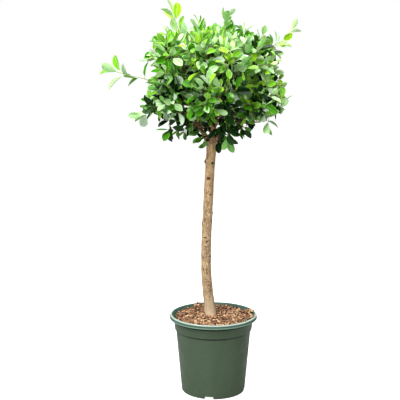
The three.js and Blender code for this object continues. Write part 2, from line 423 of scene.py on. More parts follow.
@functools.cache
def mottle_group() -> bpy.types.NodeTree:
    """The group that breaks a colour up into patches and specks, built once for all the finishes.

    Returns:
        A group with a Color and a Height output.
    """
    tree = bpy.data.node_groups.new("mottle", "ShaderNodeTree")
    kinds = {"Main": "Color", "Dark": "Color", "Light": "Color", "Stretch": "Vector"}
    kinds |= {"Patches per Metre": "Float", "Specks per Metre": "Float"}
    for name, kind in kinds.items():
        tree.interface.new_socket(name, in_out="INPUT", socket_type=f"NodeSocket{kind}")
    tree.interface.new_socket("Color", in_out="OUTPUT", socket_type="NodeSocketColor")
    tree.interface.new_socket("Height", in_out="OUTPUT", socket_type="NodeSocketFloat")
    sheet = NodeSheet(tree)
    given = sheet.add("NodeGroupInput").outputs
    place = sheet.stretched(sheet.add("ShaderNodeTexCoord").outputs["Object"], given["Stretch"])
    patches = sheet.noised(place, given["Patches per Metre"], 5.0, 0.6)
    specks = sheet.noised(place, given["Specks per Metre"], 3.0, 0.7)
    darkened = sheet.mixed(sheet.ranged(patches, *PATCH_NOISE), given["Main"], given["Dark"])
    finished = sheet.mixed(sheet.ranged(specks, *SPECK_NOISE), darkened, given["Light"])
    height = sheet.reckoned("ADD", specks, patches)
    sheet.add("NodeGroupOutput", {"Color": finished, "Height": height})
    return tree


@dataclass(frozen=True)
class MottledFinish:
    """A dull surface broken up into patches and specks, such as compost, bark chips or twigs."""

    name: str
    main: str
    dark: str
    light: str
    patches: float
    specks: float
    stretch: tuple[float, float, float] = (1.0, 1.0, 1.0)
    roughness: float = 0.8
    relief: float = 0.4
    relief_depth: float = 0.001

    def mottled(self, sheet: NodeSheet) -> bpy.types.NodeOutputs:
        """The outputs of the shared mottle group, set to this finish's colours and scales."""
        inputs = {
            "Main": colour(self.main),
            "Dark": colour(self.dark),
            "Light": colour(self.light),
            "Patches per Metre": self.patches,
            "Specks per Metre": self.specks,
            "Stretch": self.stretch,
        }
        return sheet.add("ShaderNodeGroup", inputs, node_tree=mottle_group()).outputs

    def shaded(self, sheet: NodeSheet, base: object, height: object) -> bpy.types.Node:
        """Joins a colour and a relief to the material's own shader.

        Args:
            sheet: The material's nodes.
            base: The output for the colour.
            height: The output for the relief.

        Returns:
            The Principled node.
        """
        inputs = {"Height": height, "Strength": self.relief, "Distance": self.relief_depth}
        normal = sheet.add("ShaderNodeBump", inputs).outputs["Normal"]
        return sheet.principled({"Base Color": base, "Roughness": self.roughness, "Normal": normal})

    def material(self) -> bpy.types.Material:
        """The finished material."""
        made, sheet = new_material(self.name)
        mottle = self.mottled(sheet)
        self.shaded(sheet, mottle["Color"], mottle["Height"])
        return made


@dataclass(frozen=True)
class PlasticFinish(MottledFinish):
    """Moulded plastic: faint upright flow streaks, a fine grain and duller scuffed patches."""

    scuffs: float = 26.0
    scuff_noise: Pair = (0.4, 0.65)
    glossy: float = 0.42
    dull: float = 0.60
    specular: float = 0.18
    # The rim band's bluer colour is painted reflection, and the paler colour of its lower lip a painted
    # highlight.
    rim: str = "405a50"
    rim_foot: float = 0.2290
    # A painted highlight along the outer top of the roll.
    crest_highlight: str = "bccabc"
    crest_foot: float = 0.2408
    bead_highlight: str = "688270"
    bead_top: float = 0.2352
    crest_radius: float = 0.1284
    blend: float = 0.0012
    crest_highlight_share: float = 0.8
    # Painted shade under the rim's lower lip and at the collar step.
    ledge_shade: str = "0e130b"
    ledge_shade_share: float = 0.9
    ledge_shade_at: Pair = (0.2254, 0.1946)
    ledge_shade_reach: float = 0.0022

    def material(self) -> bpy.types.Material:
        """The finished material, with painted reflection on the rim band, painted highlights on its lower lip
        and the top of its roll, and painted shade under the rim and collar.
        """
        made, sheet = new_material(self.name)
        mottle = self.mottled(sheet)
        blend = self.blend
        place, height = sheet.here()
        scuffed = sheet.noised(place, self.scuffs, 6.0, 0.65)
        # Painted highlight on the rim's lower lip, then painted reflection on the band above it.
        on_bead_highlight = sheet.ranged(height, self.rim_foot, self.rim_foot + blend)
        on_rim_reflection = sheet.ranged(height, self.bead_top - blend, self.bead_top + blend)
        # A painted highlight where the roll is high and outward.
        crest_highlight_ends = (self.crest_foot - blend, self.crest_foot + blend)
        on_crest_highlight = sheet.ranged(height, *crest_highlight_ends, 0.0, self.crest_highlight_share)
        bead_highlighted = sheet.mixed(on_bead_highlight, mottle["Color"], colour(self.bead_highlight))
        rim_reflected = sheet.mixed(on_rim_reflection, bead_highlighted, colour(self.rim))
        flat = {"Vector": sheet.stretched(place, (1, 1, 0))}
        radius = sheet.add("ShaderNodeVectorMath", flat, operation="LENGTH").outputs["Value"]
        outer = sheet.ranged(radius, self.crest_radius - blend, self.crest_radius + blend)
        now = sheet.mixed(sheet.reckoned("MULTIPLY", on_crest_highlight, outer), rim_reflected, colour(self.crest_highlight))
        # Dark bands of painted shade under the rim's lower lip and at the collar step.
        for ledge_height in self.ledge_shade_at:
            near = sheet.reckoned("COMPARE", height, ledge_height, self.ledge_shade_reach)
            now = sheet.mixed(sheet.ranged(near, 0.0, 1.0, 0.0, self.ledge_shade_share), now, colour(self.ledge_shade))
        shader = self.shaded(sheet, now, mottle["Height"])
        rough = sheet.ranged(scuffed, *self.scuff_noise, self.glossy, self.dull)
        sheet.tree.links.new(rough, shader.inputs["Roughness"])
        shader.inputs["Specular IOR Level"].default_value = self.specular
        return made


@dataclass(frozen=True)
class BarkFinish(MottledFinish):
    """Smooth bark with lenticels, dark pruning scars, a pale foot and a browner top, lightened as painted
    light against the crown's shade.
    """

    scar: str = "2e1608"
    foot: str = "e4cfb0"
    # The top colour is browner bark, made lighter as painted light against the shade that the crown casts on
    # the stem.
    top: str = "cca470"
    foot_height: float = 0.24
    pale_length: float = 0.07
    top_height: float = 0.80
    brown_lightened_length: float = 0.30
    pale_share: float = 0.75
    brown_lightened_share: float = 0.6
    lenticels: float = 420.0
    lenticel_flatness: float = 2.6
    lenticel_reach: Pair = (0.22, 0.1)
    lenticel_share: float = 0.5

    def material(self) -> bpy.types.Material:
        """The finished material."""
        made, sheet = new_material(self.name)
        mottle = self.mottled(sheet)
        place, height = sheet.here()
        foot_ends = (self.foot_height + self.pale_length, self.foot_height)
        top_ends = (self.top_height - self.brown_lightened_length, self.top_height)
        pale = sheet.ranged(height, *foot_ends, 0.0, self.pale_share)
        # Towards the top: browner bark, lightened as painted light against the crown's shade.
        brown = sheet.ranged(height, *top_ends, 0.0, self.brown_lightened_share)
        flattened = sheet.stretched(place, (1, 1, self.lenticel_flatness))
        inputs = {"Vector": flattened, "Scale": self.lenticels, "Randomness": 0.9}
        spots = sheet.add("ShaderNodeTexVoronoi", inputs).outputs["Distance"]
        spotted = sheet.ranged(spots, *self.lenticel_reach, 0.0, self.lenticel_share)
        marked = sheet.mixed(spotted, mottle["Color"], colour(self.light))
        lower = sheet.mixed(pale, marked, colour(self.foot))
        upper = sheet.mixed(brown, lower, colour(self.top))
        scar = sheet.add("ShaderNodeAttribute", attribute_name="scar").outputs["Fac"]
        scarred = sheet.mixed(scar, upper, colour(self.scar))
        self.shaded(sheet, scarred, mottle["Height"])
        return made


@dataclass(frozen=True)
class LeafFinish:
    """One tone of leaf, an age or the painted sheen: plain colours for its upper side, midrib and underside,
    with a waxy shine.
    """

    name: str
    upper: str
    rib: str
    lower: str
    roughness: float = 0.36
    wax: float = 0.12
    specular: float = 0.14
    glow: float = 0.12
    glow_depth: float = 0.001

    def materials(self) -> list[bpy.types.Material]:
        """The materials of the upper side, the midrib and the underside, in that order."""
        sides = (("upper", self.upper, 0.0), ("rib", self.rib, 0.1), ("lower", self.lower, 0.2))
        return [self._side(*side) for side in sides]

    def _side(self, part: str, shade: str, duller: float) -> bpy.types.Material:
        """One side's material.

        Args:
            part: The side's name.
            shade: Its colour code.
            duller: How much rougher it is than the upper side.

        Returns:
            The material.
        """
        made, sheet = new_material(f"leaf_{self.name}_{part}")
        inputs = {
            "Base Color": colour(shade),
            "Roughness": self.roughness + duller,
            "Specular IOR Level": self.specular,
            "Subsurface Weight": self.glow,
            "Subsurface Radius": (0.8, 1.0, 0.35),
            "Subsurface Scale": self.glow_depth,
            "Coat Weight": self.wax * (1 - 3 * duller),
            "Coat Roughness": 0.22,
        }
        sheet.principled(inputs)
        return made


def new_material(name: str) -> tuple[bpy.types.Material, NodeSheet]:
    """Makes a material with an empty node tree.

    Args:
        name: The material's name.

    Returns:
        The material and its nodes.
    """
    made = bpy.data.materials.new(name)
    made.use_nodes = True
    made.node_tree.nodes.clear()
    return made, NodeSheet(made.node_tree)


class GeometryTree:
    """A Geometry Nodes tree with named inputs, run once on an object and then taken away."""

    def __init__(self, name: str) -> None:
        """Starts a tree that takes and gives a geometry."""
        self.tree = bpy.data.node_groups.new(name, "GeometryNodeTree")
        for way in ("INPUT", "OUTPUT"):
            self.tree.interface.new_socket("Geometry", in_out=way, socket_type="NodeSocketGeometry")
        self.sheet = NodeSheet(self.tree)
        self.given = self.sheet.add("NodeGroupInput")
        self.identifiers: dict[str, str] = {}

    def ask(self, name: str, kind: str) -> Socket:
        """Adds a named input of a kind such as Float, Int or Material, and gives its output in the tree."""
        socket = self.tree.interface.new_socket(name, in_out="INPUT", socket_type=f"NodeSocket{kind}")
        self.identifiers[name] = socket.identifier
        return next(s for s in self.given.outputs if s.identifier == socket.identifier)

    def planted(self, points: Socket, number: Socket, rotation: Socket, scale: Socket) -> Socket:
        """Puts a shape from a collection, asked for as Forms, on every point.

        Args:
            points: The points.
            number: The shape's number in the collection.
            rotation: How it is turned.
            scale: How large it is.

        Returns:
            The output of the shapes in place.
        """
        inputs = {"Collection": self.ask("Forms", "Collection")}
        inputs |= {"Separate Children": True, "Reset Children": True}
        forms = self.sheet.add("GeometryNodeCollectionInfo", inputs).outputs["Instances"]
        inputs = {"Points": points, "Instance": forms, "Pick Instance": True}
        inputs |= {"Instance Index": number, "Rotation": rotation, "Scale": scale}
        return self.sheet.add("GeometryNodeInstanceOnPoints", inputs).outputs["Instances"]

    def dress(self, geometry: Socket, materials: int, kind: Socket | None = None) -> None:
        """Ends the tree: realizes the instances and sets each face's material by its kind.

        Args:
            geometry: The output to finish.
            materials: How many materials there are.
            kind: The number of each face's material. Without it, there is one material.
        """
        now = self.sheet.add("GeometryNodeRealizeInstances", {"Geometry": geometry}).outputs["Geometry"]
        for number in range(materials):
            inputs = {"Geometry": now, "Material": self.ask(f"Material {number}", "Material")}
            if kind is not None:
                pair = {"A_INT": kind, "B_INT": number}
                match = self.sheet.add("FunctionNodeCompare", pair, data_type="INT", operation="EQUAL")
                inputs["Selection"] = match.outputs["Result"]
            now = self.sheet.add("GeometryNodeSetMaterial", inputs).outputs["Geometry"]
        self.sheet.add("NodeGroupOutput", {"Geometry": now})

    def run(self, carrier: bpy.types.Object, values: dict[str, object]) -> None:
        """Runs the tree on an object and keeps the result as its plain mesh.

        Args:
            carrier: The object whose mesh the tree starts from. It keeps the finished mesh and no modifier.
            values: A value for each named input.
        """
        modifier = carrier.modifiers.new(self.tree.name, "NODES")
        modifier.node_group = self.tree
        for name, value in values.items():
            modifier[self.identifiers[name]] = value
        mesh = evaluated_mesh(carrier)
        carrier.modifiers.remove(modifier)
        carrier.data = mesh
        mesh.name = carrier.name


def store(
    mesh: bpy.types.Mesh, name: str, kind: str, values: Sequence[object], domain: str = "POINT"
) -> None:
    """Stores a named attribute on a mesh.

    Args:
        mesh: The mesh.
        name: The attribute's name.
        kind: FLOAT, INT or FLOAT_VECTOR.
        values: One value for each point or face.
        domain: POINT or FACE.
    """
    attribute = mesh.attributes.new(name, kind, domain)
    key = "vector" if kind == "FLOAT_VECTOR" else "value"
    numbers = np.array(values, int if kind == "INT" else float)
    attribute.data.foreach_set(key, numbers.ravel())


def form_collection(name: str, forms: Sequence[bpy.types.Object]) -> bpy.types.Collection:
    """Puts the shapes to be repeated in a collection of their own, which isn't part of the scene."""
    collection = bpy.data.collections.new(name)
    for form in forms:
        collection.objects.link(form)
    return collection


# ---------------- pot and mulch


@dataclass
class Pot:
    """Round nursery pot: foot ring, tapered body, collar, rolled rim and drainage notches."""

    foot_ring: float = 0.060
    recess: float = 0.0015
    foot_fillet: float = 0.004
    body_top: Pair = (0.115, 0.1930)
    collar_foot: Pair = (0.1188, 0.1970)
    collar_top: Pair = (0.1220, 0.2290)
    bead_radius: float = 0.0019
    bead_rise: float = 0.0036
    cove_depth: float = 0.0011
    roll_radius: float = 0.0062
    wall: float = 0.0024
    floor: float = 0.012
    sides: int = 128
    notch_count: int = 4
    notch_bearing: float = 261.7
    notch_foot: float = 0.033
    notch_head: float = 0.025
    notch_height: float = 0.0085
    notch_depth: float = 0.028
    finish: PlasticFinish = PlasticFinish(
        "pot_plastic", "465743", "42533e", "50614b", 16.0, 900.0,
        stretch=(1.0, 1.0, 0.12), relief=0.06, relief_depth=0.0004,
    )

    def __post_init__(self) -> None:
        """Reads the pot's outer sizes off its CAD node."""
        low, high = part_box("pot")
        self.height = high.z
        self.rim = (high.x - low.x) / 2
        places = vertices_of("pot")
        on_foot = places[places[:, 2] < self.foot_fillet + 0.0005]
        self.foot = float(np.linalg.norm(on_foot[:, :2], axis=1).max())

    @staticmethod
    def arc(centre: Pair, radius: float, start: float, end: float, parts: int) -> list[tuple]:
        """Points on part of a circle, from one angle in degrees to another."""
        angles = [math.radians(start + (end - start) * k / parts) for k in range(parts + 1)]
        return [(centre[0] + radius * math.cos(a), centre[1] + radius * math.sin(a)) for a in angles]

    def inner_wall(self) -> list[Pair]:
        """The inner outline, from the top of the collar down to the inner floor."""
        (top_r, top_z), (foot_r, foot_z), (body_r, body_z) = self.collar_top, self.collar_foot, self.body_top
        return [
            (top_r - self.wall, top_z + 0.006),
            (foot_r - self.wall, foot_z + 0.001),
            (body_r - self.wall, body_z + 0.001),
            (self.foot - self.wall, self.floor + self.foot_fillet),
            (self.foot - self.wall - self.foot_fillet, self.floor),
        ]

    def inner_radius(self, height: float) -> float:
        """How far the inner wall is from the axis at a height."""
        outline = self.inner_wall()[::-1]
        return float(np.interp(height, [z for _, z in outline], [r for r, _ in outline]))

    def outline(self) -> list[Pair]:
        """The outline as radius and height, from the middle of the underside to the middle of the floor."""
        fillet, foot = self.foot_fillet, self.foot
        bead_z = self.collar_top[1] + self.bead_rise
        roll_z = self.height - self.roll_radius
        roll_r = self.rim - self.roll_radius - 0.0004
        cove_z = (bead_z + self.bead_radius + roll_z) / 2
        return [
            (0.0, self.recess),
            (self.foot_ring - self.recess, self.recess),
            (self.foot_ring, 0.0),
            *self.arc((foot - fillet, fillet), fillet, -90, 0, 5),
            self.body_top,
            (self.body_top[0] + 0.0012, self.body_top[1] + 0.0002),
            (self.collar_foot[0] - 0.0006, self.collar_foot[1] - 0.0012),
            self.collar_foot,
            (self.collar_top[0] - 0.0003, self.collar_top[1] - 0.006),
            (self.collar_top[0] + 0.0006, self.collar_top[1] - 0.001),
            (self.collar_top[0] + 0.0025, self.collar_top[1]),
            *self.arc((self.rim - self.bead_radius, bead_z), self.bead_radius, -100, 60, 6),
            (self.rim - self.cove_depth, cove_z),
            *self.arc((roll_r, roll_z), self.roll_radius, 20, 165, 9),
            *self.inner_wall(),
            (0.0, self.floor),
        ]

    def notch_blocks(self) -> bpy.types.Object:
        """One object of all the blocks that are cut out of the foot."""
        vertices: list[Vector] = []
        faces: list[list[int]] = []
        foot, head = (self.notch_foot, -0.01), (self.notch_head, self.notch_height)
        for number in range(self.notch_count):
            bearing = math.radians(self.notch_bearing + number * 360 / self.notch_count)
            outward = Vector((math.cos(bearing), math.sin(bearing), 0))
            aside = UP.cross(outward)
            first = len(vertices)
            for reach in (self.foot - self.notch_depth, self.foot + 0.01):
                for half, (width, lift) in ((-0.5, foot), (0.5, foot), (0.5, head), (-0.5, head)):
                    vertices.append(outward * reach + aside * width * half + UP * lift)
            box = [[3, 2, 1, 0], [4, 5, 6, 7], [0, 1, 5, 4], [1, 2, 6, 5], [2, 3, 7, 6], [3, 0, 4, 7]]
            faces += [[first + corner for corner in face] for face in box]
        return mesh_object("notch_blocks", vertices, faces)

    def build(self) -> None:
        """Turns the outline round the axis, cuts the notches and dresses the pot."""
        pot = mesh_object("pot_body", *closed_tube(turned_rings(self.outline()[1:-1], self.sides)))
        blocks = self.notch_blocks()
        cut = pot.modifiers.new("notches", "BOOLEAN")
        cut.operation, cut.object, cut.solver = "DIFFERENCE", blocks, "EXACT"
        pot.data = evaluated_mesh(pot)
        pot.modifiers.clear()
        bpy.data.objects.remove(blocks)
        pot.data.materials.clear()
        pot.data.materials.append(self.finish.material())
        shade_smooth(pot, 28)
        enrol(pot, ["pot"])


@dataclass(frozen=True)
class Heap:
    """A heap of chips: where its middle is, how wide and high it is, and the height of its foot."""

    bearing: float
    radius: float
    width: float
    foot: float
    rise: float


@dataclass
class Mulch:
    """The compost's uneven top inside the pot, covered with chips of bark."""

    pot: Pot
    edge_height: float = 0.2332
    middle_height: float = 0.2358
    back_rise: float = 0.0034
    unevenness: float = 0.0022
    clearance: float = 0.0004
    rings: int = 26
    sides: int = 72
    chip_margin: float = 0.004
    chip_lift: float = 0.001
    chip_spacing: float = 0.0037
    chip_density: float = 90000.0
    chip_tilt: float = 0.5
    chip_scales: Pair = (0.4, 1.1)
    chip_sizes: tuple[tuple[float, float, float], ...] = (
        (0.010, 0.007, 0.005),
        (0.013, 0.007, 0.0026),
        (0.021, 0.0032, 0.0022),
    )
    chip_seed: int = 4
    spill_seed: int = 9
    heap_chips: int = 90
    heaps: tuple[Heap, ...] = (
        Heap(116, 0.106, 0.013, 0.236, 0.016),
        Heap(14, 0.113, 0.017, 0.238, 0.010),
        Heap(350, 0.116, 0.014, 0.238, 0.006),
    )
    soil: MottledFinish = MottledFinish(
        "compost", "5c3a25", "2c1a10", "8a5f42", 60.0, 420.0, roughness=0.95, relief=0.8, relief_depth=0.002
    )
    chips: tuple[MottledFinish, ...] = (
        MottledFinish("chip_brown", "84603e", "6e4830", "c4a07c", 110.0, 700.0, roughness=0.85),
        MottledFinish("chip_red", "7a4a2e", "5c3824", "b0805a", 110.0, 700.0, roughness=0.85),
        MottledFinish("chip_pale", "c8a074", "a67c54", "ecd2aa", 110.0, 700.0, roughness=0.8),
        MottledFinish("chip_dark", "321c10", "20110a", "7a523c", 110.0, 700.0, roughness=0.9),
    )

    def surface_height(self, x: float, y: float) -> float:
        """How high the compost is at a place."""
        share = min(1.0, math.hypot(x, y) / self.pot.inner_radius(self.edge_height))
        mound = self.middle_height + (self.edge_height - self.middle_height) * share**2
        mound += self.back_rise * smooth_step(y / self.pot.rim)
        return mound + self.unevenness * noise.noise(Vector((x, y, 0)) * 55)

    def surface_ring(self, radius: float, lift: float = 0.0) -> list[Vector]:
        """A ring of points on the compost, or a little above it."""
        turns = [i * math.tau / self.sides for i in range(self.sides)]
        spots = [(radius * math.cos(a), radius * math.sin(a)) for a in turns]
        return [Vector((x, y, self.surface_height(x, y) + lift)) for x, y in spots]

    def build_bed(self) -> None:
        """Builds the body of compost, closed, down to the pot's floor."""
        outline = self.pot.inner_wall()[1:]
        inside = [(r - self.clearance, z + self.clearance) for r, z in outline][::-1]
        edge = self.pot.inner_radius(self.edge_height) - self.clearance
        rings = turned_rings(inside, self.sides)
        rings += [self.surface_ring(edge * (1 - step / self.rings)) for step in range(self.rings)]
        bed = mesh_object("compost_bed", *closed_tube(rings))
        bed.data.materials.append(self.soil.material())
        shade_smooth(bed, 40)
        enrol(bed, ["compost"])

    def chip_form(self, number: int, size: Vector, tone: int, dice: random.Random) -> bpy.types.Object:
        """One rough chip of bark, centred on the origin.

        Args:
            number: The chip's number, which its name ends with.
            size: Its length, width and thickness.
            tone: The number of its colour.
            dice: Where its roughness is drawn from.

        Returns:
            The chip.
        """
        shape = bmesh.new()
        bmesh.ops.create_icosphere(shape, subdivisions=1, radius=0.5)
        for vertex in shape.verts:
            rough = [dice.uniform(0.75, 1.2) for _ in range(3)]
            squared = [math.copysign(min(0.5, abs(c) * 1.35), c) for c in vertex.co]
            vertex.co = Vector([c * s * r for c, s, r in zip(squared, size, rough)])
        mesh = bpy.data.meshes.new(f"chip_{number:02d}")
        shape.to_mesh(mesh)
        shape.free()
        store(mesh, "kind", "INT", [tone] * len(mesh.polygons), "FACE")
        return bpy.data.objects.new(mesh.name, mesh)

    def chip_forms(self) -> bpy.types.Collection:
        """Nuggets, flakes and splinters in each colour."""
        dice = random.Random(self.chip_seed)
        forms = []
        for tone in range(len(self.chips)):
            for size in self.chip_sizes:
                forms.append(self.chip_form(len(forms), Vector(size), tone, dice))
        return form_collection("chip_forms", forms)

    def tree(self, scattered: bool) -> GeometryTree:
        """The tree that lays the chips.

        Args:
            scattered: Whether it scatters them over a surface or puts one on each point.

        Returns:
            The tree, with its named inputs.
        """
        made = GeometryTree("scatter_chips" if scattered else "lay_chips")
        sheet = made.sheet
        seed = made.ask("Seed", "Int")
        spots = made.given.outputs["Geometry"]
        if scattered:
            inputs = {"Mesh": spots, "Distance Min": made.ask("Spacing", "Float"), "Seed": seed}
            inputs["Density Max"] = made.ask("Density", "Float")
            spread = sheet.add("GeometryNodeDistributePointsOnFaces", inputs, distribute_method="POISSON")
            spots = spread.outputs["Points"]
        tilt = self.chip_tilt
        turn = sheet.drawn("FLOAT_VECTOR", (-tilt, -tilt, 0.0), (tilt, tilt, math.tau), seed)
        rotation = sheet.add("FunctionNodeEulerToRotation", {"Euler": turn}).outputs["Rotation"]
        scale = sheet.drawn("FLOAT", *self.chip_scales, seed)
        number = sheet.drawn("INT", 0, len(self.chips) * len(self.chip_sizes) - 1, seed)
        chips = made.planted(spots, number, rotation, scale)
        made.dress(chips, len(self.chips), sheet.take("kind", "INT"))
        return made

    def heap_places(self) -> list[Vector]:
        """Where chips are heaped up: against the back of the rim on the left, and over its right edge."""
        dice = random.Random(self.spill_seed)
        places = []
        for heap in self.heaps:
            centre = polar(heap.bearing, heap.radius, 0)
            for _ in range(self.heap_chips):
                share = math.sqrt(dice.random())
                aside = polar(dice.uniform(0, 360), share * heap.width, 0)
                top = heap.rise * (1 - share**2) * dice.uniform(0.5, 1.0)
                places.append(centre + aside + UP * (heap.foot + top))
        return places

    def build_chips(self) -> None:
        """Builds the layer of chips and the heaped ones."""
        forms = self.chip_forms()
        materials = {f"Material {i}": finish.material() for i, finish in enumerate(self.chips)}
        edge = self.pot.inner_radius(self.edge_height) - self.chip_margin
        vertices = [Vector((0, 0, self.surface_height(0, 0)))]
        faces = []
        for step in range(1, self.rings + 1):
            first = len(vertices)
            vertices += self.surface_ring(edge * step / self.rings, self.chip_lift)
            for number in range(self.sides):
                aside = (number + 1) % self.sides
                if step == 1:
                    faces.append([0, first + number, first + aside])
                else:
                    inner = first - self.sides
                    faces.append([inner + number, first + number, first + aside, inner + aside])
        layer = mesh_object("bark_mulch", vertices, faces)
        shared = {"Forms": forms, **materials}
        sown = {"Seed": self.chip_seed, "Spacing": self.chip_spacing, "Density": self.chip_density}
        self.tree(True).run(layer, {**sown, **shared})
        heap = mesh_object("bark_mulch_heaped", self.heap_places())
        self.tree(False).run(heap, {"Seed": self.spill_seed, **shared})
        for piece in (layer, heap):
            enrol(piece)


# ---------------- stem and boughs


@dataclass(frozen=True)
class Scar:
    """A pruning scar on the stem: where it is, how wide and tall, and how far its knob stands proud."""

    height: float
    bearing: float
    width: float
    tall: float
    proud: float = 0.0008
    darkness: float = 0.95


@dataclass
class Bark:
    """The stem and boughs with the relief of their bark."""

    stem_step: float = 0.002
    stem_sides: int = 60
    bough_step: float = 0.0035
    bough_sides: int = 20
    lumps: float = 0.0007
    lumps_per_metre: float = 38.0
    ridges: float = 0.0005
    ridges_round: float = 3.2
    ridges_per_metre: float = 14.0
    wrinkles: float = 0.00028
    wrinkles_across: float = 150.0
    wrinkles_per_metre: float = 420.0
    scar_collar: float = 0.0005
    dome_steps: int = 5
    dome_height: float = 0.007
    dome_share: float = 0.94
    bough_stations: int = 6
    bough_flare: float = 0.35
    bough_flare_length: float = 0.008
    bough_relief: float = 0.8
    bough_radii: dict[str, Pair] = field(
        default_factory=lambda: {
            "leader": (0.0095, 0.006),
            "lower": (0.0064, 0.0044),
            "upper": (0.0054, 0.0038),
        }
    )
    into_parent: float = 0.007
    into_mass: float = 0.004
    scars: tuple[Scar, ...] = (
        Scar(0.733, 231, 0.004, 0.020, -0.0006),
        Scar(0.716, 200, 0.009, 0.010, 0.0050),
        Scar(0.713, 332, 0.004, 0.032, -0.0006),
        Scar(0.665, 258, 0.013, 0.009, -0.0010),
        Scar(0.616, 295, 0.007, 0.005, -0.0008),
        Scar(0.578, 222, 0.004, 0.005, 0.0006),
        Scar(0.557, 340, 0.006, 0.008, 0.0028, 0.4),
        Scar(0.524, 205, 0.007, 0.012, 0.0032, 0.8),
        Scar(0.483, 253, 0.013, 0.004, 0.0010),
        Scar(0.470, 274, 0.008, 0.006, -0.0009),
        Scar(0.405, 308, 0.008, 0.014, -0.0003, 0.4),
        Scar(0.383, 238, 0.005, 0.006, -0.0007, 0.9),
        Scar(0.640, 70, 0.010, 0.008, -0.0009),
        Scar(0.510, 120, 0.008, 0.007, 0.0026),
        Scar(0.420, 40, 0.009, 0.006, -0.0008),
        Scar(0.330, 150, 0.006, 0.006, 0.0014),
    )
    stem_finish: BarkFinish = BarkFinish(
        "stem_bark", "aa8c65", "5a3e22", "ecd4ac", 62.0, 330.0,
        stretch=(1.0, 1.0, 0.55), roughness=0.78, relief=0.5, relief_depth=0.0012,
    )
    # The boughs' bark is darker than the stem's: partly its own browner colour, partly painted shade from the
    # crown.
    bough_finish: MottledFinish = MottledFinish(
        "bough_bark", "866442", "583e26", "bb9970", 80.0, 420.0,
        stretch=(1.0, 1.0, 0.7), roughness=0.8, relief=0.5, relief_depth=0.0010,
    )

    def __post_init__(self) -> None:
        """Reads the stem's middle and radius at each level off its CAD node."""
        places = vertices_of("stem")
        levels = np.unique(places[:, 2].round(4))
        rings = [places[np.abs(places[:, 2] - level) < 0.0002] for level in levels]
        rings = [ring for ring in rings if len(ring) > 5]
        self.levels = np.array([ring[:, 2].mean() for ring in rings])
        self.centres = np.array([(ring[:, :2].min(axis=0) + ring[:, :2].max(axis=0)) / 2 for ring in rings])
        spans = [np.linalg.norm(ring[:, :2] - centre, axis=1) for ring, centre in zip(rings, self.centres)]
        self.radii = np.array([span.max() for span in spans])

    def stem_at(self, height: float) -> tuple[Vector, float]:
        """The stem's middle and radius at a height."""
        x = float(np.interp(height, self.levels, self.centres[:, 0]))
        y = float(np.interp(height, self.levels, self.centres[:, 1]))
        return Vector((x, y, height)), float(np.interp(height, self.levels, self.radii))

    @property
    def head(self) -> Vector:
        """The middle of the top of the stem."""
        return self.stem_at(float(self.levels[-1]))[0]

    def on_stem(self, height: float, bearing: float) -> tuple[Vector, Vector]:
        """A point on the stem's surface and the direction outwards there."""
        centre, radius = self.stem_at(height)
        outward = polar(bearing, 1, 0)
        return centre + outward * radius, outward

    def relief(self, place: Vector, outward: Vector) -> float:
        """How far the bark stands out at a place, from lumps, upright ridges and level wrinkles."""
        lumps = noise.fractal(place * self.lumps_per_metre, 0.9, 2.1, 3)
        turn, across = self.ridges_round, self.wrinkles_across
        ridges = noise.noise(Vector((outward.x * turn, outward.y * turn, place.z * self.ridges_per_metre)))
        level = Vector((place.x * across, place.y * across, place.z * self.wrinkles_per_metre))
        wrinkles = noise.noise(level)
        return self.lumps * lumps + self.ridges * ridges + self.wrinkles * wrinkles

    def scarring(self, height: float, bearing: float, radius: float) -> Pair:
        """What the scars do at one place.

        Args:
            height: The place's height.
            bearing: Its bearing in degrees.
            radius: The stem's radius there.

        Returns:
            How far the scars push the surface out, and how dark they make it.
        """
        push, dark = 0.0, 0.0
        for scar in self.scars:
            rise = (height - scar.height) / scar.tall
            if abs(rise) > 2:
                continue
            turn = (bearing - scar.bearing + 180) % 360 - 180
            aside = math.radians(turn) * radius / scar.width
            gap = math.hypot(rise, aside) * 2
            knob = math.exp(-(gap**2) / 1.6)
            collar = math.exp(-((gap - 1.5) ** 2) / 0.25)
            push += scar.proud * knob + self.scar_collar * collar
            dark = max(dark, scar.darkness * smooth_step((1.35 - gap) / 0.7))
        return push, dark

    def build_stem(self) -> None:
        """Builds the stem with its relief and scars, closed by a low dome."""
        low, high = float(self.levels[0]), float(self.levels[-1])
        count = round((high - low) / self.stem_step)
        rings, darkness = [], []
        for step in range(count + 1):
            height = low + (high - low) * step / count
            centre, radius = self.stem_at(height)
            ring = []
            for side in range(self.stem_sides):
                bearing = side * 360 / self.stem_sides
                outward = polar(bearing, 1, 0)
                place = centre + outward * radius
                push, dark = self.scarring(height, bearing, radius)
                ring.append(place + outward * (push + self.relief(place, outward)))
                darkness.append(dark)
            rings.append(ring)
        top_centre, _ = self.stem_at(high)
        for step in range(1, self.dome_steps + 1):
            angle = step / self.dome_steps * math.pi / 2 * self.dome_share
            rise = UP * self.dome_height * math.sin(angle)
            rings.append([top_centre + (v - top_centre) * math.cos(angle) + rise for v in rings[count]])
            darkness += [0.0] * self.stem_sides
        stem = mesh_object("stem_bark", *closed_tube(rings))
        store(stem.data, "scar", "FLOAT", darkness)
        stem.data.materials.append(self.stem_finish.material())
        shade_smooth(stem, 60)
        enrol(stem, ["stem"])

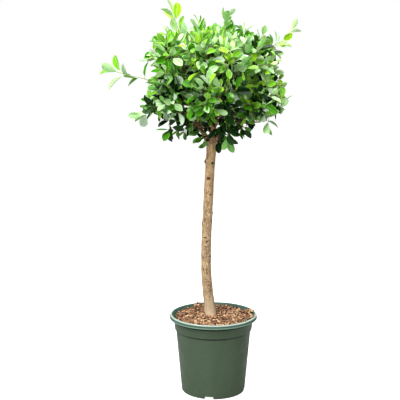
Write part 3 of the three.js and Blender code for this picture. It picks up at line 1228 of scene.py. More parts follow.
    def bough_line(self, node: str) -> tuple[list[Vector], list[float]]:
        """A bough's line and radii, run on into its parent at the foot and a little into its mass at the tip.

        Args:
            node: The bough's CAD node.

        Returns:
            The points and the radius at each.
        """
        places = vertices_of(node)
        stations = self.bough_stations
        points = middle_line(places, limb_ends(places, self.head), stations)
        foot_radius, tip_radius = self.bough_radii[node.rpartition("_bough")[0]]
        radii = [foot_radius + (tip_radius - foot_radius) * k / (stations - 1) for k in range(stations)]
        foot = points[0] + (points[0] - points[1]).normalized() * self.into_parent
        tip = points[-1] + (points[-1] - points[-2]).normalized() * self.into_mass
        return [foot, *points[1:-1], tip], radii

    def bough_rings(self, points: Sequence[Vector], radii: Sequence[float]) -> list[list[Vector]]:
        """The rings of one bough, with its relief and a flared foot."""
        line, widths = resampled(points, radii, self.bough_step)
        rings = []
        side = (line[1] - line[0]).orthogonal().normalized()
        for number, centre in enumerate(line):
            ahead = line[min(number + 1, len(line) - 1)] - line[max(number - 1, 0)]
            tangent = ahead.normalized()
            side = (side - tangent * side.dot(tangent)).normalized()
            across = tangent.cross(side)
            flare = 1 + self.bough_flare * math.exp(-number * self.bough_step / self.bough_flare_length)
            ring = []
            for k in range(self.bough_sides):
                angle = k * math.tau / self.bough_sides
                outward = side * math.cos(angle) + across * math.sin(angle)
                place = centre + outward * widths[number] * flare
                ring.append(place + outward * self.relief(place, outward) * self.bough_relief)
            rings.append(ring)
        return rings

    def build_boughs(self) -> None:
        """Builds all the boughs in one mesh, from the stem's head to the masses."""
        nodes = ["leader_bough", *nodes_named("lower_bough"), *nodes_named("upper_bough")]
        vertices: list[Vector] = []
        faces: list[list[int]] = []
        for node in nodes:
            tube, skin = closed_tube(self.bough_rings(*self.bough_line(node)))
            faces += [[len(vertices) + corner for corner in face] for face in skin]
            vertices += tube
        boughs = mesh_object("bough_bark", vertices, faces)
        boughs.data.materials.append(self.bough_finish.material())
        shade_smooth(boughs, 60)
        enrol(boughs, nodes)


# ---------------- branching


class Tone(Enum):
    """The ages and looks of leaf. The pale sheen tone is painted sheen, and the deep tone is old leaves' dark
    green darkened further as painted shade.
    """

    LIME = 0
    FRESH = 1
    GREEN = 2
    # Old leaves' dark green, darkened nearly to black as painted shade.
    DEEP = 3
    # Pale green that paints the leaves' glossy sheen.
    SILVER = 4


@dataclass
class Limb:
    """One stretch of wood with a radius at each of its points."""

    points: list[Vector]
    radii: list[float]
    young: bool = False


@dataclass(frozen=True)
class Habit:
    """How a shoot's leaves grow, and how far the wood of a named shoot ends before its tip."""

    leaves: int
    leaf_length: float
    spacing: float
    tone: Tone
    spin: float = 0.0
    opening: float = 52.0
    droop: float = 0.0
    tip_size: float = 0.62
    inset: float = 0.038


@dataclass
class Shoot:
    """A leafy shoot: its line from the last fork to its tip, and how it grows."""

    line: list[Vector]
    outward: Vector
    habit: Habit
    region: str = "lower"
    budded: bool = True


@dataclass
class Leaf:
    """One leaf: where it is joined, which way it points and faces, and what it is like."""

    place: Vector
    along: Vector
    face: Vector
    size: float
    tone: Tone
    form: int


@dataclass
class Mass:
    """A mass of foliage in the frame, with the end of the bough that feeds it."""

    name: str
    bough: str
    centre: Vector
    surface: BVHTree
    bough_end: Vector
    heading: Vector

    def holds(self, place: Vector) -> bool:
        """Whether a place is inside the mass."""
        spot, normal, _, _ = self.surface.find_nearest(place)
        return (place - spot).dot(normal) < 0


def region_of(mass: Mass) -> str:
    """The part of the head that a mass is in."""
    return "lower" if mass.name.startswith("lower") else "upper"


BACK_HABIT = Habit(7, 0.046, 0.013, Tone.FRESH, 0, 48, 0.0, 0.7, 0.038)
HABITS = {
    "shoot_top_left": Habit(10, 0.046, 0.013, Tone.LIME, 40, 34, 0.0, 1.0, 0.054),
    "shoot_top_middle": Habit(8, 0.038, 0.012, Tone.SILVER, 120, 38, 0.0, 0.7, 0.036),
    "shoot_top_right": Habit(11, 0.042, 0.012, Tone.FRESH, 200, 42, 0.0, 0.8, 0.038),
    "shoot_right_tip": Habit(5, 0.040, 0.020, Tone.LIME, 75, 30, 0.0, 0.85, 0.036),
    "shoot_right_low": Habit(7, 0.044, 0.010, Tone.SILVER, 20, 50, 0.0, 0.85, 0.044),
    "shoot_right_hanging": Habit(7, 0.040, 0.011, Tone.SILVER, 10, 40, 0.0, 0.85, 0.040),
    "shoot_left_tip": Habit(8, 0.050, 0.017, Tone.SILVER, 95, 60, -0.1, 1.0, 0.046),
    "shoot_left_high": Habit(7, 0.038, 0.012, Tone.FRESH, 30, 46, 0.0, 0.75, 0.034),
    "shoot_left_low": Habit(6, 0.044, 0.013, Tone.SILVER, 60, 40, -0.1, 0.85, 0.042),
    "shoot_left_hanging": Habit(8, 0.040, 0.009, Tone.DEEP, 10, 46, 0.1, 1.0, 0.036),
    "shoot_front_hanging": Habit(6, 0.040, 0.010, Tone.DEEP, 70, 36, 0.1, 1.0, 0.036),
}


@dataclass
class Crown:
    """The head's branching, grown by one rule from each bough's end to the surface of its mass.

    Fewer shoots grow in the window, a low part of the head round one bearing, so that the boughs show there.
    Shoots that face steeply down are thinned too. Openings are angles in degrees. Most pairs of numbers are
    ranges that a value is drawn from, but light_heights and leaf_counts are limits.
    """

    bark: Bark
    seed: int = 28
    directions: int = 160
    direction_play: float = 0.2
    open_reach: float = 0.014
    core_limit: float = 0.45
    tip_spacing: float = 0.0275
    long_share: float = 0.3
    long_reach: float = 0.026
    tip_inset: float = 0.030
    tip_play: float = 0.016
    top_reach: float = 0.020
    bare_below: float = -0.55
    bare_share: float = 0.35
    window_bearing: float = 258.0
    window_half: float = 34.0
    window_top: float = 0.878
    window_share: float = 0.8
    fork_share: float = 0.36
    fork_play: Pair = (0.8, 1.2)
    jitter: float = 0.006
    shoot_radius: float = 0.0011
    pipe_power: float = 0.44
    limb_parts: int = 3
    leafy_tips: int = 4
    light_heights: Pair = (0.82, 1.08)
    light_by_height: float = 0.65
    light_by_facing: float = 0.35
    inner_spacing: float = 0.010
    inner_leaf_lengths: Pair = (0.030, 0.040)
    inner_droops: Pair = (0.0, 0.3)
    inner_openings: Pair = (55, 75)
    hanging_below: float = -0.35
    hanging_leaves: int = 5
    hanging_leaf_lengths: Pair = (0.030, 0.038)
    hanging_droops: Pair = (0.1, 0.4)
    lanky_spacings: Pair = (0.0115, 0.0145)
    close_spacings: Pair = (0.0070, 0.0100)
    leaf_counts: tuple[int, int] = (6, 13)
    leaf_lengths: Pair = (0.030, 0.046)
    droops: Pair = (-0.1, 0.15)
    openings: Pair = (44, 62)
    shoot_parts: int = 6
    named_stations: int = 6
    named_step: float = 0.012
    named_foot_width: float = 1.5
    named_tip_width: float = 0.7
    skirt_sprays: int = 4
    skirt_shares: Pair = (0.7, 1.0)
    skirt_lengths: Pair = (0.036, 0.076)
    old_spray_shares: tuple[float, ...] = (0.1, 0.3, 0.55, 0.8)
    old_spray_lift: float = 0.9
    old_spray_lengths: Pair = (0.010, 0.024)
    old_leaf_lengths: Pair = (0.028, 0.038)
    old_spacing: float = 0.006
    old_droop: float = 0.35
    spurs: int = 9
    spur_shares: Pair = (0.2, 0.95)
    spur_lengths: Pair = (0.050, 0.110)
    spur_widths: Pair = (1.4, 2.1)
    spur_twig_lengths: Pair = (0.025, 0.060)
    tangle_heights: Pair = (0.834, 0.872)
    shoots: list[Shoot] = field(default_factory=list)
    limbs: list[Limb] = field(default_factory=list)

    def __post_init__(self) -> None:
        """Finds the masses and their boughs."""
        self.dice = random.Random(self.seed)
        low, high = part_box("leader_bough")
        self.hub = (low + high) / 2
        depsgraph = bpy.context.evaluated_depsgraph_get()
        self.masses = []
        names = [*nodes_named("lower_mass"), *nodes_named("upper_mass"), "cap_mass"]
        for name in names:
            bough = "leader_bough" if name == "cap_mass" else name.replace("mass", "bough")
            points, _ = self.bark.bough_line(bough)
            heading = (points[-1] - points[-2]).normalized()
            centre = Vector(vertices_of(name).mean(axis=0))
            surface = BVHTree.FromObject(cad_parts[name], depsgraph)
            self.masses.append(Mass(name, bough, centre, surface, points[-1], heading))

    def is_open(self, mass: Mass, place: Vector, direction: Vector) -> bool:
        """Whether a place on a mass faces the air, and not another mass or the bare core."""
        beyond = place + direction * self.open_reach
        if any(other.holds(beyond) for other in self.masses if other is not mass):
            return False
        return direction.dot((self.hub - mass.centre).normalized()) < self.core_limit

    def tips_of(self, mass: Mass, taken: list[Vector]) -> list[tuple[Vector, Vector]]:
        """Spreads shoot tips under a mass's open surface.

        Args:
            mass: The mass.
            taken: The tips so far, which new ones keep clear of and are added to.

        Returns:
            Each tip and the direction outwards there.
        """
        tips = []
        for number in range(self.directions):
            level = 1 - 2 * (number + 0.5) / self.directions
            turn = number * GOLDEN_TURN + self.spread(self.direction_play)
            flat = math.sqrt(1 - level**2)
            direction = Vector((flat * math.cos(turn), flat * math.sin(turn), level))
            spot, normal, _, _ = mass.surface.ray_cast(mass.centre, direction)
            if spot is None or not self.is_open(mass, spot, direction):
                continue
            if direction.z < self.bare_below and self.dice.random() < self.bare_share:
                continue
            outward = (normal + (spot - self.hub).normalized()).normalized()
            bearing = math.degrees(math.atan2(spot.y, spot.x)) % 360
            in_window = abs(bearing - self.window_bearing) < self.window_half and spot.z < self.window_top
            if in_window and self.dice.random() < self.window_share:
                continue
            inset = self.tip_inset - self.top_reach * direction.z + self.spread(self.tip_play)
            if direction.z > self.bare_below and self.dice.random() < self.long_share:
                inset -= self.long_reach
            tip = spot - direction * inset
            if all((tip - other).length > self.tip_spacing for other in taken):
                taken.append(tip)
                tips.append((tip, outward))
        return tips

    def wood_radius(self, tips: int) -> float:
        """How thick wood is that carries a number of shoot tips."""
        return self.shoot_radius * tips**self.pipe_power

    def spread(self, size: float) -> float:
        """A number drawn evenly from a range centred on nought."""
        return self.dice.uniform(-size, size)

    def scatter(self, size: float) -> Vector:
        """A random small step."""
        return Vector([self.spread(size) for _ in range(3)])

    def parted(self, tips: list[tuple[Vector, Vector]]) -> list[list[tuple[Vector, Vector]]]:
        """Parts a group of tips in two, each tip going with the nearer of the two furthest apart."""
        first, second = max(
            ((a[0], b[0]) for i, a in enumerate(tips) for b in tips[i + 1 :]),
            key=lambda pair: (pair[0] - pair[1]).length,
        )
        near = [tip for tip in tips if (tip[0] - first).length <= (tip[0] - second).length]
        far = [tip for tip in tips if (tip[0] - first).length > (tip[0] - second).length]
        return [near, far]

    def branch(self, start: Vector, heading: Vector, tips: list[tuple[Vector, Vector]], mass: Mass) -> None:
        """Grows wood from a point to a group of tips, forking where the group parts.

        Args:
            start: Where the wood begins.
            heading: Its direction there.
            tips: The tips that it carries.
            mass: The mass that it grows in.
        """
        if len(tips) == 1:
            self.grow_shoot(start, heading, *tips[0], mass)
            return
        for group in self.parted(tips):
            aim = mean([tip for tip, _ in group])
            if len(group) == 1:
                self.grow_shoot(start, heading, *group[0], mass)
                continue
            share = self.fork_share * self.dice.uniform(*self.fork_play)
            fork = start.lerp(aim, share) + self.scatter(self.jitter)
            arrival = (aim - start).normalized()
            parts = self.limb_parts
            line = bent_line(start, (heading + arrival).normalized(), fork, arrival, parts)
            thick = self.wood_radius(len(group))
            radii = [thick * (1.12 - 0.12 * k / parts) for k in range(parts + 1)]
            self.limbs.append(Limb(line, radii))
            if len(group) <= self.leafy_tips:
                self.clothe(line, mass)
            self.branch(fork, arrival, group, mass)

    def clothe(self, line: list[Vector], mass: Mass) -> None:
        """Puts a few old leaves along a fine limb inside a mass."""
        length = (line[-1] - line[0]).length
        habit = Habit(
            leaves=max(2, round(length / self.inner_spacing)),
            leaf_length=self.dice.uniform(*self.inner_leaf_lengths),
            spacing=self.inner_spacing,
            # Mostly the deep tone, whose near-black is painted shade inside the crown.
            tone=self.dice.choice((Tone.DEEP, Tone.DEEP, Tone.GREEN)),
            droop=self.dice.uniform(*self.inner_droops),
            opening=self.dice.uniform(*self.inner_openings),
            spin=self.dice.uniform(0, 360),
            tip_size=1.0,
        )
        outward = (line[-1] - self.hub).normalized()
        self.shoots.append(Shoot(line, outward, habit, region_of(mass), budded=False))

    def tone_for(self, height: float, outward: Vector) -> Tone:
        """Deals a spray its tone by how high it is and how far it faces up: high, upward sprays get paler
        tones and low, downward ones deeper tones, partly for age and partly as painted light and shade.
        """
        low, high = self.light_heights
        by_height = self.light_by_height * smooth_step((height - low) / (high - low))
        by_facing = self.light_by_facing * smooth_step((outward.z + 0.6) / 1.4)
        light = by_height + by_facing
        shares = {
            Tone.LIME: 0.03 + 0.38 * light,
            Tone.FRESH: 0.18 + 0.36 * light,
            Tone.SILVER: 0.15 + 0.12 * light,
            Tone.GREEN: 0.34 - 0.20 * light,
            Tone.DEEP: 0.04 + 0.28 * (1 - light) ** 1.5,
        }
        return self.dice.choices(list(shares), weights=list(shares.values()))[0]

    def grow_shoot(self, start: Vector, heading: Vector, tip: Vector, outward: Vector, mass: Mass) -> None:
        """Grows one leafy shoot up to its tip.

        Args:
            start: Where it leaves the fork.
            heading: The direction of the wood there.
            tip: Its tip.
            outward: The direction out of the mass at the tip.
            mass: The mass that it grows in.
        """
        hanging = outward.z < self.hanging_below
        lift = -0.1 if hanging else 0.45 + 0.9 * max(0.0, outward.z)
        way = (tip - start).normalized()
        arrival = (way + outward * 0.5 + UP * lift).normalized()
        parts = self.shoot_parts
        line = bent_line(start, (heading + way).normalized(), tip, arrival, parts)
        lanky = not hanging and self.dice.random() < self.long_share
        spacing = self.dice.uniform(*(self.lanky_spacings if lanky else self.close_spacings))
        least, most = self.leaf_counts
        wanted = round((tip - start).length / spacing) + 1
        habit = Habit(
            leaves=self.hanging_leaves if hanging else max(least, min(most, wanted)),
            leaf_length=self.dice.uniform(*(self.hanging_leaf_lengths if hanging else self.leaf_lengths)),
            spacing=spacing,
            tone=self.tone_for(tip.z, outward),
            droop=self.dice.uniform(*(self.hanging_droops if hanging else self.droops)),
            opening=self.dice.uniform(*self.openings),
            spin=self.dice.uniform(0, 360),
        )
        self.shoots.append(Shoot(line, outward, habit, region_of(mass)))
        radii = [self.shoot_radius * (1.25 - 0.6 * k / parts) for k in range(parts + 1)]
        self.limbs.append(Limb(line, radii, True))

    def grow_named_shoot(self, node: str) -> None:
        """Grows one of the shoots that stand out of the head, from the nearest wood along its CAD solid."""
        habit = HABITS.get(node, replace(BACK_HABIT, spin=self.dice.uniform(0, 360)))
        places = vertices_of(node)
        foot, tip = spindle_ends(places, self.hub)
        way = (tip - foot) / np.linalg.norm(tip - foot)
        reach = min(habit.inset, np.linalg.norm(tip - foot) * 0.6)
        points = middle_line(places, (foot, tip - way * reach), self.named_stations)
        wood = [limb.points[-1] for limb in self.limbs if not limb.young]
        start = min(wood, key=lambda place: (place - points[0]).length)
        onward = (points[2] - points[1]).normalized()
        lead = bent_line(start, (points[0] - start).normalized(), points[1], onward, 4)
        knots = [*lead, *points[2:]]
        line, _ = resampled(knots, [0.0] * len(knots), self.named_step)
        thick = self.shoot_radius * self.named_foot_width
        loss = thick - self.shoot_radius * self.named_tip_width
        radii = [thick - loss * k / (len(line) - 1) for k in range(len(line))]
        self.limbs.append(Limb(line, radii, True))
        self.shoots.append(Shoot(line, (points[-1] - self.hub).normalized(), habit, "shoot"))

    def grow_inner_twigs(self) -> None:
        """Grows old leaves round the stem's head, and a tangle of bare twigs on the lower boughs."""
        for mass in self.masses:
            if not mass.name.startswith("lower"):
                continue
            points, _ = self.bark.bough_line(mass.bough)
            outward = Vector((mass.centre.x, mass.centre.y, 0)).normalized()
            for share in self.old_spray_shares:
                place = self.along_bough(points, share)
                lift = UP * self.old_spray_lift * (1 - share)
                self.grow_old_spray(place, outward + lift, self.old_spray_lengths)
            for _ in range(self.skirt_sprays):
                aside = UP.cross(outward) * self.spread(1.2)
                place = self.along_bough(points, self.dice.uniform(*self.skirt_shares))
                self.grow_old_spray(place, outward * 2.2 + aside - UP * 0.8, self.skirt_lengths)
            for _ in range(self.spurs):
                self.grow_spur(self.along_bough(points, self.dice.uniform(*self.spur_shares)), outward)

    def grow_old_spray(self, place: Vector, outward: Vector, lengths: Pair) -> None:
        """Grows one short twig with a few old leaves, out and down from a bough.

        Args:
            place: Where it leaves the bough.
            outward: The way that it tends to grow.
            lengths: Its shortest and longest length.
        """
        way = (self.scatter(1).normalized() * 0.8 + outward * 0.5 - UP * 0.15).normalized()
        tip = place + way * self.dice.uniform(*lengths)
        line = bent_line(place, way, tip, (way - UP * 0.4).normalized(), 4)
        self.limbs.append(Limb(line, [self.shoot_radius * (1.1 - 0.1 * k) for k in range(5)]))
        habit = Habit(
            leaves=self.dice.randint(3, 5),
            leaf_length=self.dice.uniform(*self.old_leaf_lengths),
            spacing=self.old_spacing,
            # The deep tone's near-black is painted shade under the crown.
            tone=self.dice.choice((Tone.DEEP, Tone.GREEN)),
            droop=self.old_droop,
            spin=self.dice.uniform(0, 360),
        )
        self.shoots.append(Shoot(line, (way - UP).normalized(), habit))

    def grow_spur(self, place: Vector, outward: Vector) -> None:
        """Grows one bare twig with two side twigs, close to level."""
        side = UP.cross(outward) * self.spread(1.2)
        way = (outward * self.dice.uniform(0.3, 1.0) + side).normalized()
        tip = place + way * self.dice.uniform(*self.spur_lengths)
        tip.z = self.dice.uniform(*self.tangle_heights)
        line = bent_line(place, (way + UP * 0.3).normalized(), tip, way, 6)
        thick = self.shoot_radius * self.dice.uniform(*self.spur_widths)
        self.limbs.append(Limb(line, [thick * (1 - 0.09 * k) for k in range(7)]))
        for fork in (line[2], line[4]):
            swing = (way + self.scatter(0.9)).normalized()
            flattened = Vector((swing.x, swing.y, swing.z * 0.4))
            end = fork + flattened * self.dice.uniform(*self.spur_twig_lengths)
            twig = bent_line(fork, way, end, swing, 4)
            self.limbs.append(Limb(twig, [thick * (0.62 - 0.08 * k) for k in range(5)]))

    @staticmethod
    def along_bough(points: Sequence[Vector], share: float) -> Vector:
        """The point at a share of the way along a line."""
        at = min(share * (len(points) - 1), len(points) - 1.001)
        return points[int(at)].lerp(points[int(at) + 1], at % 1)

    def grow(self) -> None:
        """Grows the whole head: every mass, the shoots that stand out of it, and the twigs inside."""
        taken: list[Vector] = []
        for mass in self.masses:
            tips = self.tips_of(mass, taken)
            self.branch(mass.bough_end, mass.heading, tips, mass)
            LOG.info("%s: %d shoots", mass.name, len(tips))
        for node in nodes_named("shoot_"):
            self.grow_named_shoot(node)
        self.grow_inner_twigs()


@dataclass
class Twigs:
    """The wood finer than a bough, swept along the crown's limbs by a tree of nodes."""

    crown: Crown
    old_sides: int = 7
    young_sides: int = 6
    old: MottledFinish = MottledFinish("old_twig", "80603f", "4f3826", "b39268", 120.0, 700.0, relief=0.3)
    young: MottledFinish = MottledFinish(
        "young_twig", "93a04c", "6e8038", "c3c884", 90.0, 600.0, roughness=0.5, relief=0.1
    )

    def tree(self) -> GeometryTree:
        """The tree that sweeps a round section along every line, at the radius stored on its points."""
        made = GeometryTree("sweep_twigs")
        sheet = made.sheet
        joined = {"Mesh": made.given.outputs["Geometry"]}
        lines = sheet.add("GeometryNodeMeshToCurve", joined).outputs["Curve"]
        section = {"Resolution": made.ask("Sides", "Int"), "Radius": 1.0}
        profile = sheet.add("GeometryNodeCurvePrimitiveCircle", section).outputs["Curve"]
        inputs = {"Curve": lines, "Profile Curve": profile, "Scale": sheet.take("radius_here", "FLOAT")}
        swept = sheet.add("GeometryNodeCurveToMesh", {**inputs, "Fill Caps": True}).outputs["Mesh"]
        made.dress(swept, 1)
        return made

    def build(self) -> None:
        """Builds the old wood and the young wood, each in one mesh."""
        kinds = (
            ("old_twigs", False, self.old_sides, self.old),
            ("young_twigs", True, self.young_sides, self.young),
        )
        for name, young, sides, finish in kinds:
            places: list[Vector] = []
            radii: list[float] = []
            edges: list[tuple[int, int]] = []
            for limb in (limb for limb in self.crown.limbs if limb.young == young):
                edges += [(len(places) + k, len(places) + k + 1) for k in range(len(limb.points) - 1)]
                places += limb.points
                radii += limb.radii
            piece = mesh_object(name, places, edges=edges)
            store(piece.data, "radius_here", "FLOAT", radii)
            self.tree().run(piece, {"Sides": sides, "Material 0": finish.material()})
            shade_smooth(piece, 70)
            enrol(piece)


# ---------------- leaves


@dataclass(frozen=True)
class Blade:
    """The shape of one form of leaf, one unit long without its stalk."""

    width: float
    fold: float
    arch: float
    wave: float = 0.0
    stations: tuple[float, ...] = (0.0, 0.13, 0.32, 0.53, 0.74, 0.9, 1.0)
    bluntness: float = 0.62
    widest: float = 1.32
    rib_half: float = 0.012
    # The edge strip takes the midrib's pale colour: partly the leaf's thin pale edge, partly a painted
    # highlight along it.
    pale_edge_and_highlight: float = 0.12
    rib_depth: float = 0.020
    stalk: float = 0.17
    stalk_radius: float = 0.017
    weight: float = 1.0
    young_weight: float | None = None
    young_until: float = 0.35

    def weight_at(self, share: float) -> float:
        """How common this form is at a share of the way back from a shoot's tip."""
        young = self.young_weight is not None and share < self.young_until
        return self.young_weight if young else self.weight

    def half_width(self, along: float) -> float:
        """Half the blade's width at a share of its length."""
        return self.width / 2 * max(0.0, math.sin(math.pi * along**self.widest)) ** self.bluntness

    def height(self, along: float, aside: float) -> float:
        """How far the blade lies above its stalk's plane, at a share of its length and off the midrib."""
        ripple = self.wave * math.sin(along * 9 + (1.3 if aside > 0 else 0)) * abs(aside)
        return self.fold * abs(aside) - self.arch * along**2 + ripple

    def form(self, name: str) -> bpy.types.Object:
        """The leaf as an object: blade, midrib and stalk, with the part of each face stored on it.

        Args:
            name: The object's name.

        Returns:
            The leaf, which points along +Y and faces +Z.
        """
        vertices: list[Vector] = []
        faces: list[list[int]] = []
        parts: list[int] = []

        def row(along: float) -> list[int]:
            """Adds one row of vertices across the blade, upper side first and the keel last."""
            half = self.half_width(along)
            rib = min(self.rib_half, half * 0.5)
            first = len(vertices)
            edge = half * (1 - self.pale_edge_and_highlight)
            for aside in (-half, -edge, -rib, rib, edge, half):
                vertices.append(Vector((aside, self.stalk + along, self.height(along, aside))))
            keel = self.height(along, 0) - self.rib_depth * (1 - 0.6 * along)
            vertices.append(Vector((0, self.stalk + along, keel)))
            return list(range(first, first + 7))

        def point(along: float) -> int:
            """Adds the vertex where the blade starts or ends."""
            vertices.append(Vector((0, self.stalk + along, self.height(along, 0) - self.rib_depth / 4)))
            return len(vertices) - 1

        def add(face: list[int], part: int) -> None:
            """Adds a face of a part: 0 is the upper side, 1 the midrib, stalk and pale edge strips, 2 the
            underside.
            """
            faces.append(face)
            parts.append(part)

        base = point(self.stations[0])
        rows = [row(along) for along in self.stations[1:-1]]
        tip = point(self.stations[-1])
        # The outer strips take part 1, a pale edge that is partly a painted highlight.
        part_of = (1, 0, 1, 0, 1)
        for k, part in enumerate(part_of):
            add([base, rows[0][k + 1], rows[0][k]], part)
            add([tip, rows[-1][k], rows[-1][k + 1]], part)
        for low, high in zip(rows, rows[1:]):
            for k, part in enumerate(part_of):
                add([low[k], low[k + 1], high[k + 1], high[k]], part)
            add([low[0], high[0], high[6], low[6]], 2)
            add([low[6], high[6], high[5], low[5]], 2)
        add([base, rows[0][0], rows[0][6]], 2)
        add([base, rows[0][6], rows[0][5]], 2)
        add([tip, rows[-1][6], rows[-1][0]], 2)
        add([tip, rows[-1][5], rows[-1][6]], 2)
        self._add_stalk(vertices, add)
        mesh = bpy.data.meshes.new(name)
        mesh.from_pydata([tuple(v) for v in vertices], [], faces)
        store(mesh, "part", "INT", parts, "FACE")
        mesh.shade_smooth()
        edges = [[base, *(row[side] for row in rows), tip] for side in (0, 5)]
        rim = {tuple(sorted(pair)) for edge in edges for pair in zip(edge, edge[1:])}
        for edge in mesh.edges:
            edge.use_edge_sharp = tuple(sorted(edge.vertices)) in rim
        return bpy.data.objects.new(name, mesh)

    def _add_stalk(self, vertices: list[Vector], add: Callable[[list[int], int], None]) -> None:
        """Adds the three-sided stalk, from the twig to just inside the blade."""
        first = len(vertices)
        for y, radius in ((-0.02, self.stalk_radius * 1.25), (self.stalk + 0.05, self.stalk_radius * 0.8)):
            for k in range(3):
                angle = k * math.tau / 3 + math.pi / 2
                lift = -self.rib_depth * 0.6 if y > 0 else 0.0
                vertices.append(Vector((radius * math.cos(angle), y, radius * math.sin(angle) + lift)))
        for k in range(3):
            aside = (k + 1) % 3
            add([first + k, first + 3 + k, first + 3 + aside, first + aside], 1)
        add([first, first + 1, first + 2], 1)
        add([first + 5, first + 4, first + 3], 1)


@dataclass(frozen=True)
class Bud:
    """The pointed bud at the end of a shoot, one unit long."""

    width: float = 0.22
    sides: int = 5

    def form(self, name: str) -> bpy.types.Object:
        """The bud as an object that points along +Y."""
        shape = ((0.0, 0.6), (0.35, 1.0), (0.75, 0.55))
        vertices = []
        for y, share in shape:
            for k in range(self.sides):
                angle = k * math.tau / self.sides
                radius = self.width / 2 * share
                vertices.append((radius * math.cos(angle), y, -radius * math.sin(angle)))
        vertices.append((0.0, 1.0, 0.0))
        faces = []
        for low in range(0, (len(shape) - 1) * self.sides, self.sides):
            for k in range(self.sides):
                aside = (k + 1) % self.sides
                high = low + self.sides
                faces.append([high + aside, high + k, low + k, low + aside])
        last = (len(shape) - 1) * self.sides
        faces += [[last + k, last + (k + 1) % self.sides, len(vertices) - 1] for k in range(self.sides)]
        faces.append(list(range(self.sides))[::-1])
        mesh = bpy.data.meshes.new(name)
        mesh.from_pydata(vertices, [], faces)
        store(mesh, "part", "INT", [1] * len(faces), "FACE")
        mesh.shade_smooth()
        return bpy.data.objects.new(name, mesh)


FRESHER = {Tone.FRESH: Tone.LIME, Tone.GREEN: Tone.FRESH, Tone.DEEP: Tone.GREEN, Tone.SILVER: Tone.FRESH}
OLDER = {Tone.LIME: Tone.FRESH, Tone.FRESH: Tone.GREEN, Tone.GREEN: Tone.DEEP, Tone.SILVER: Tone.GREEN}


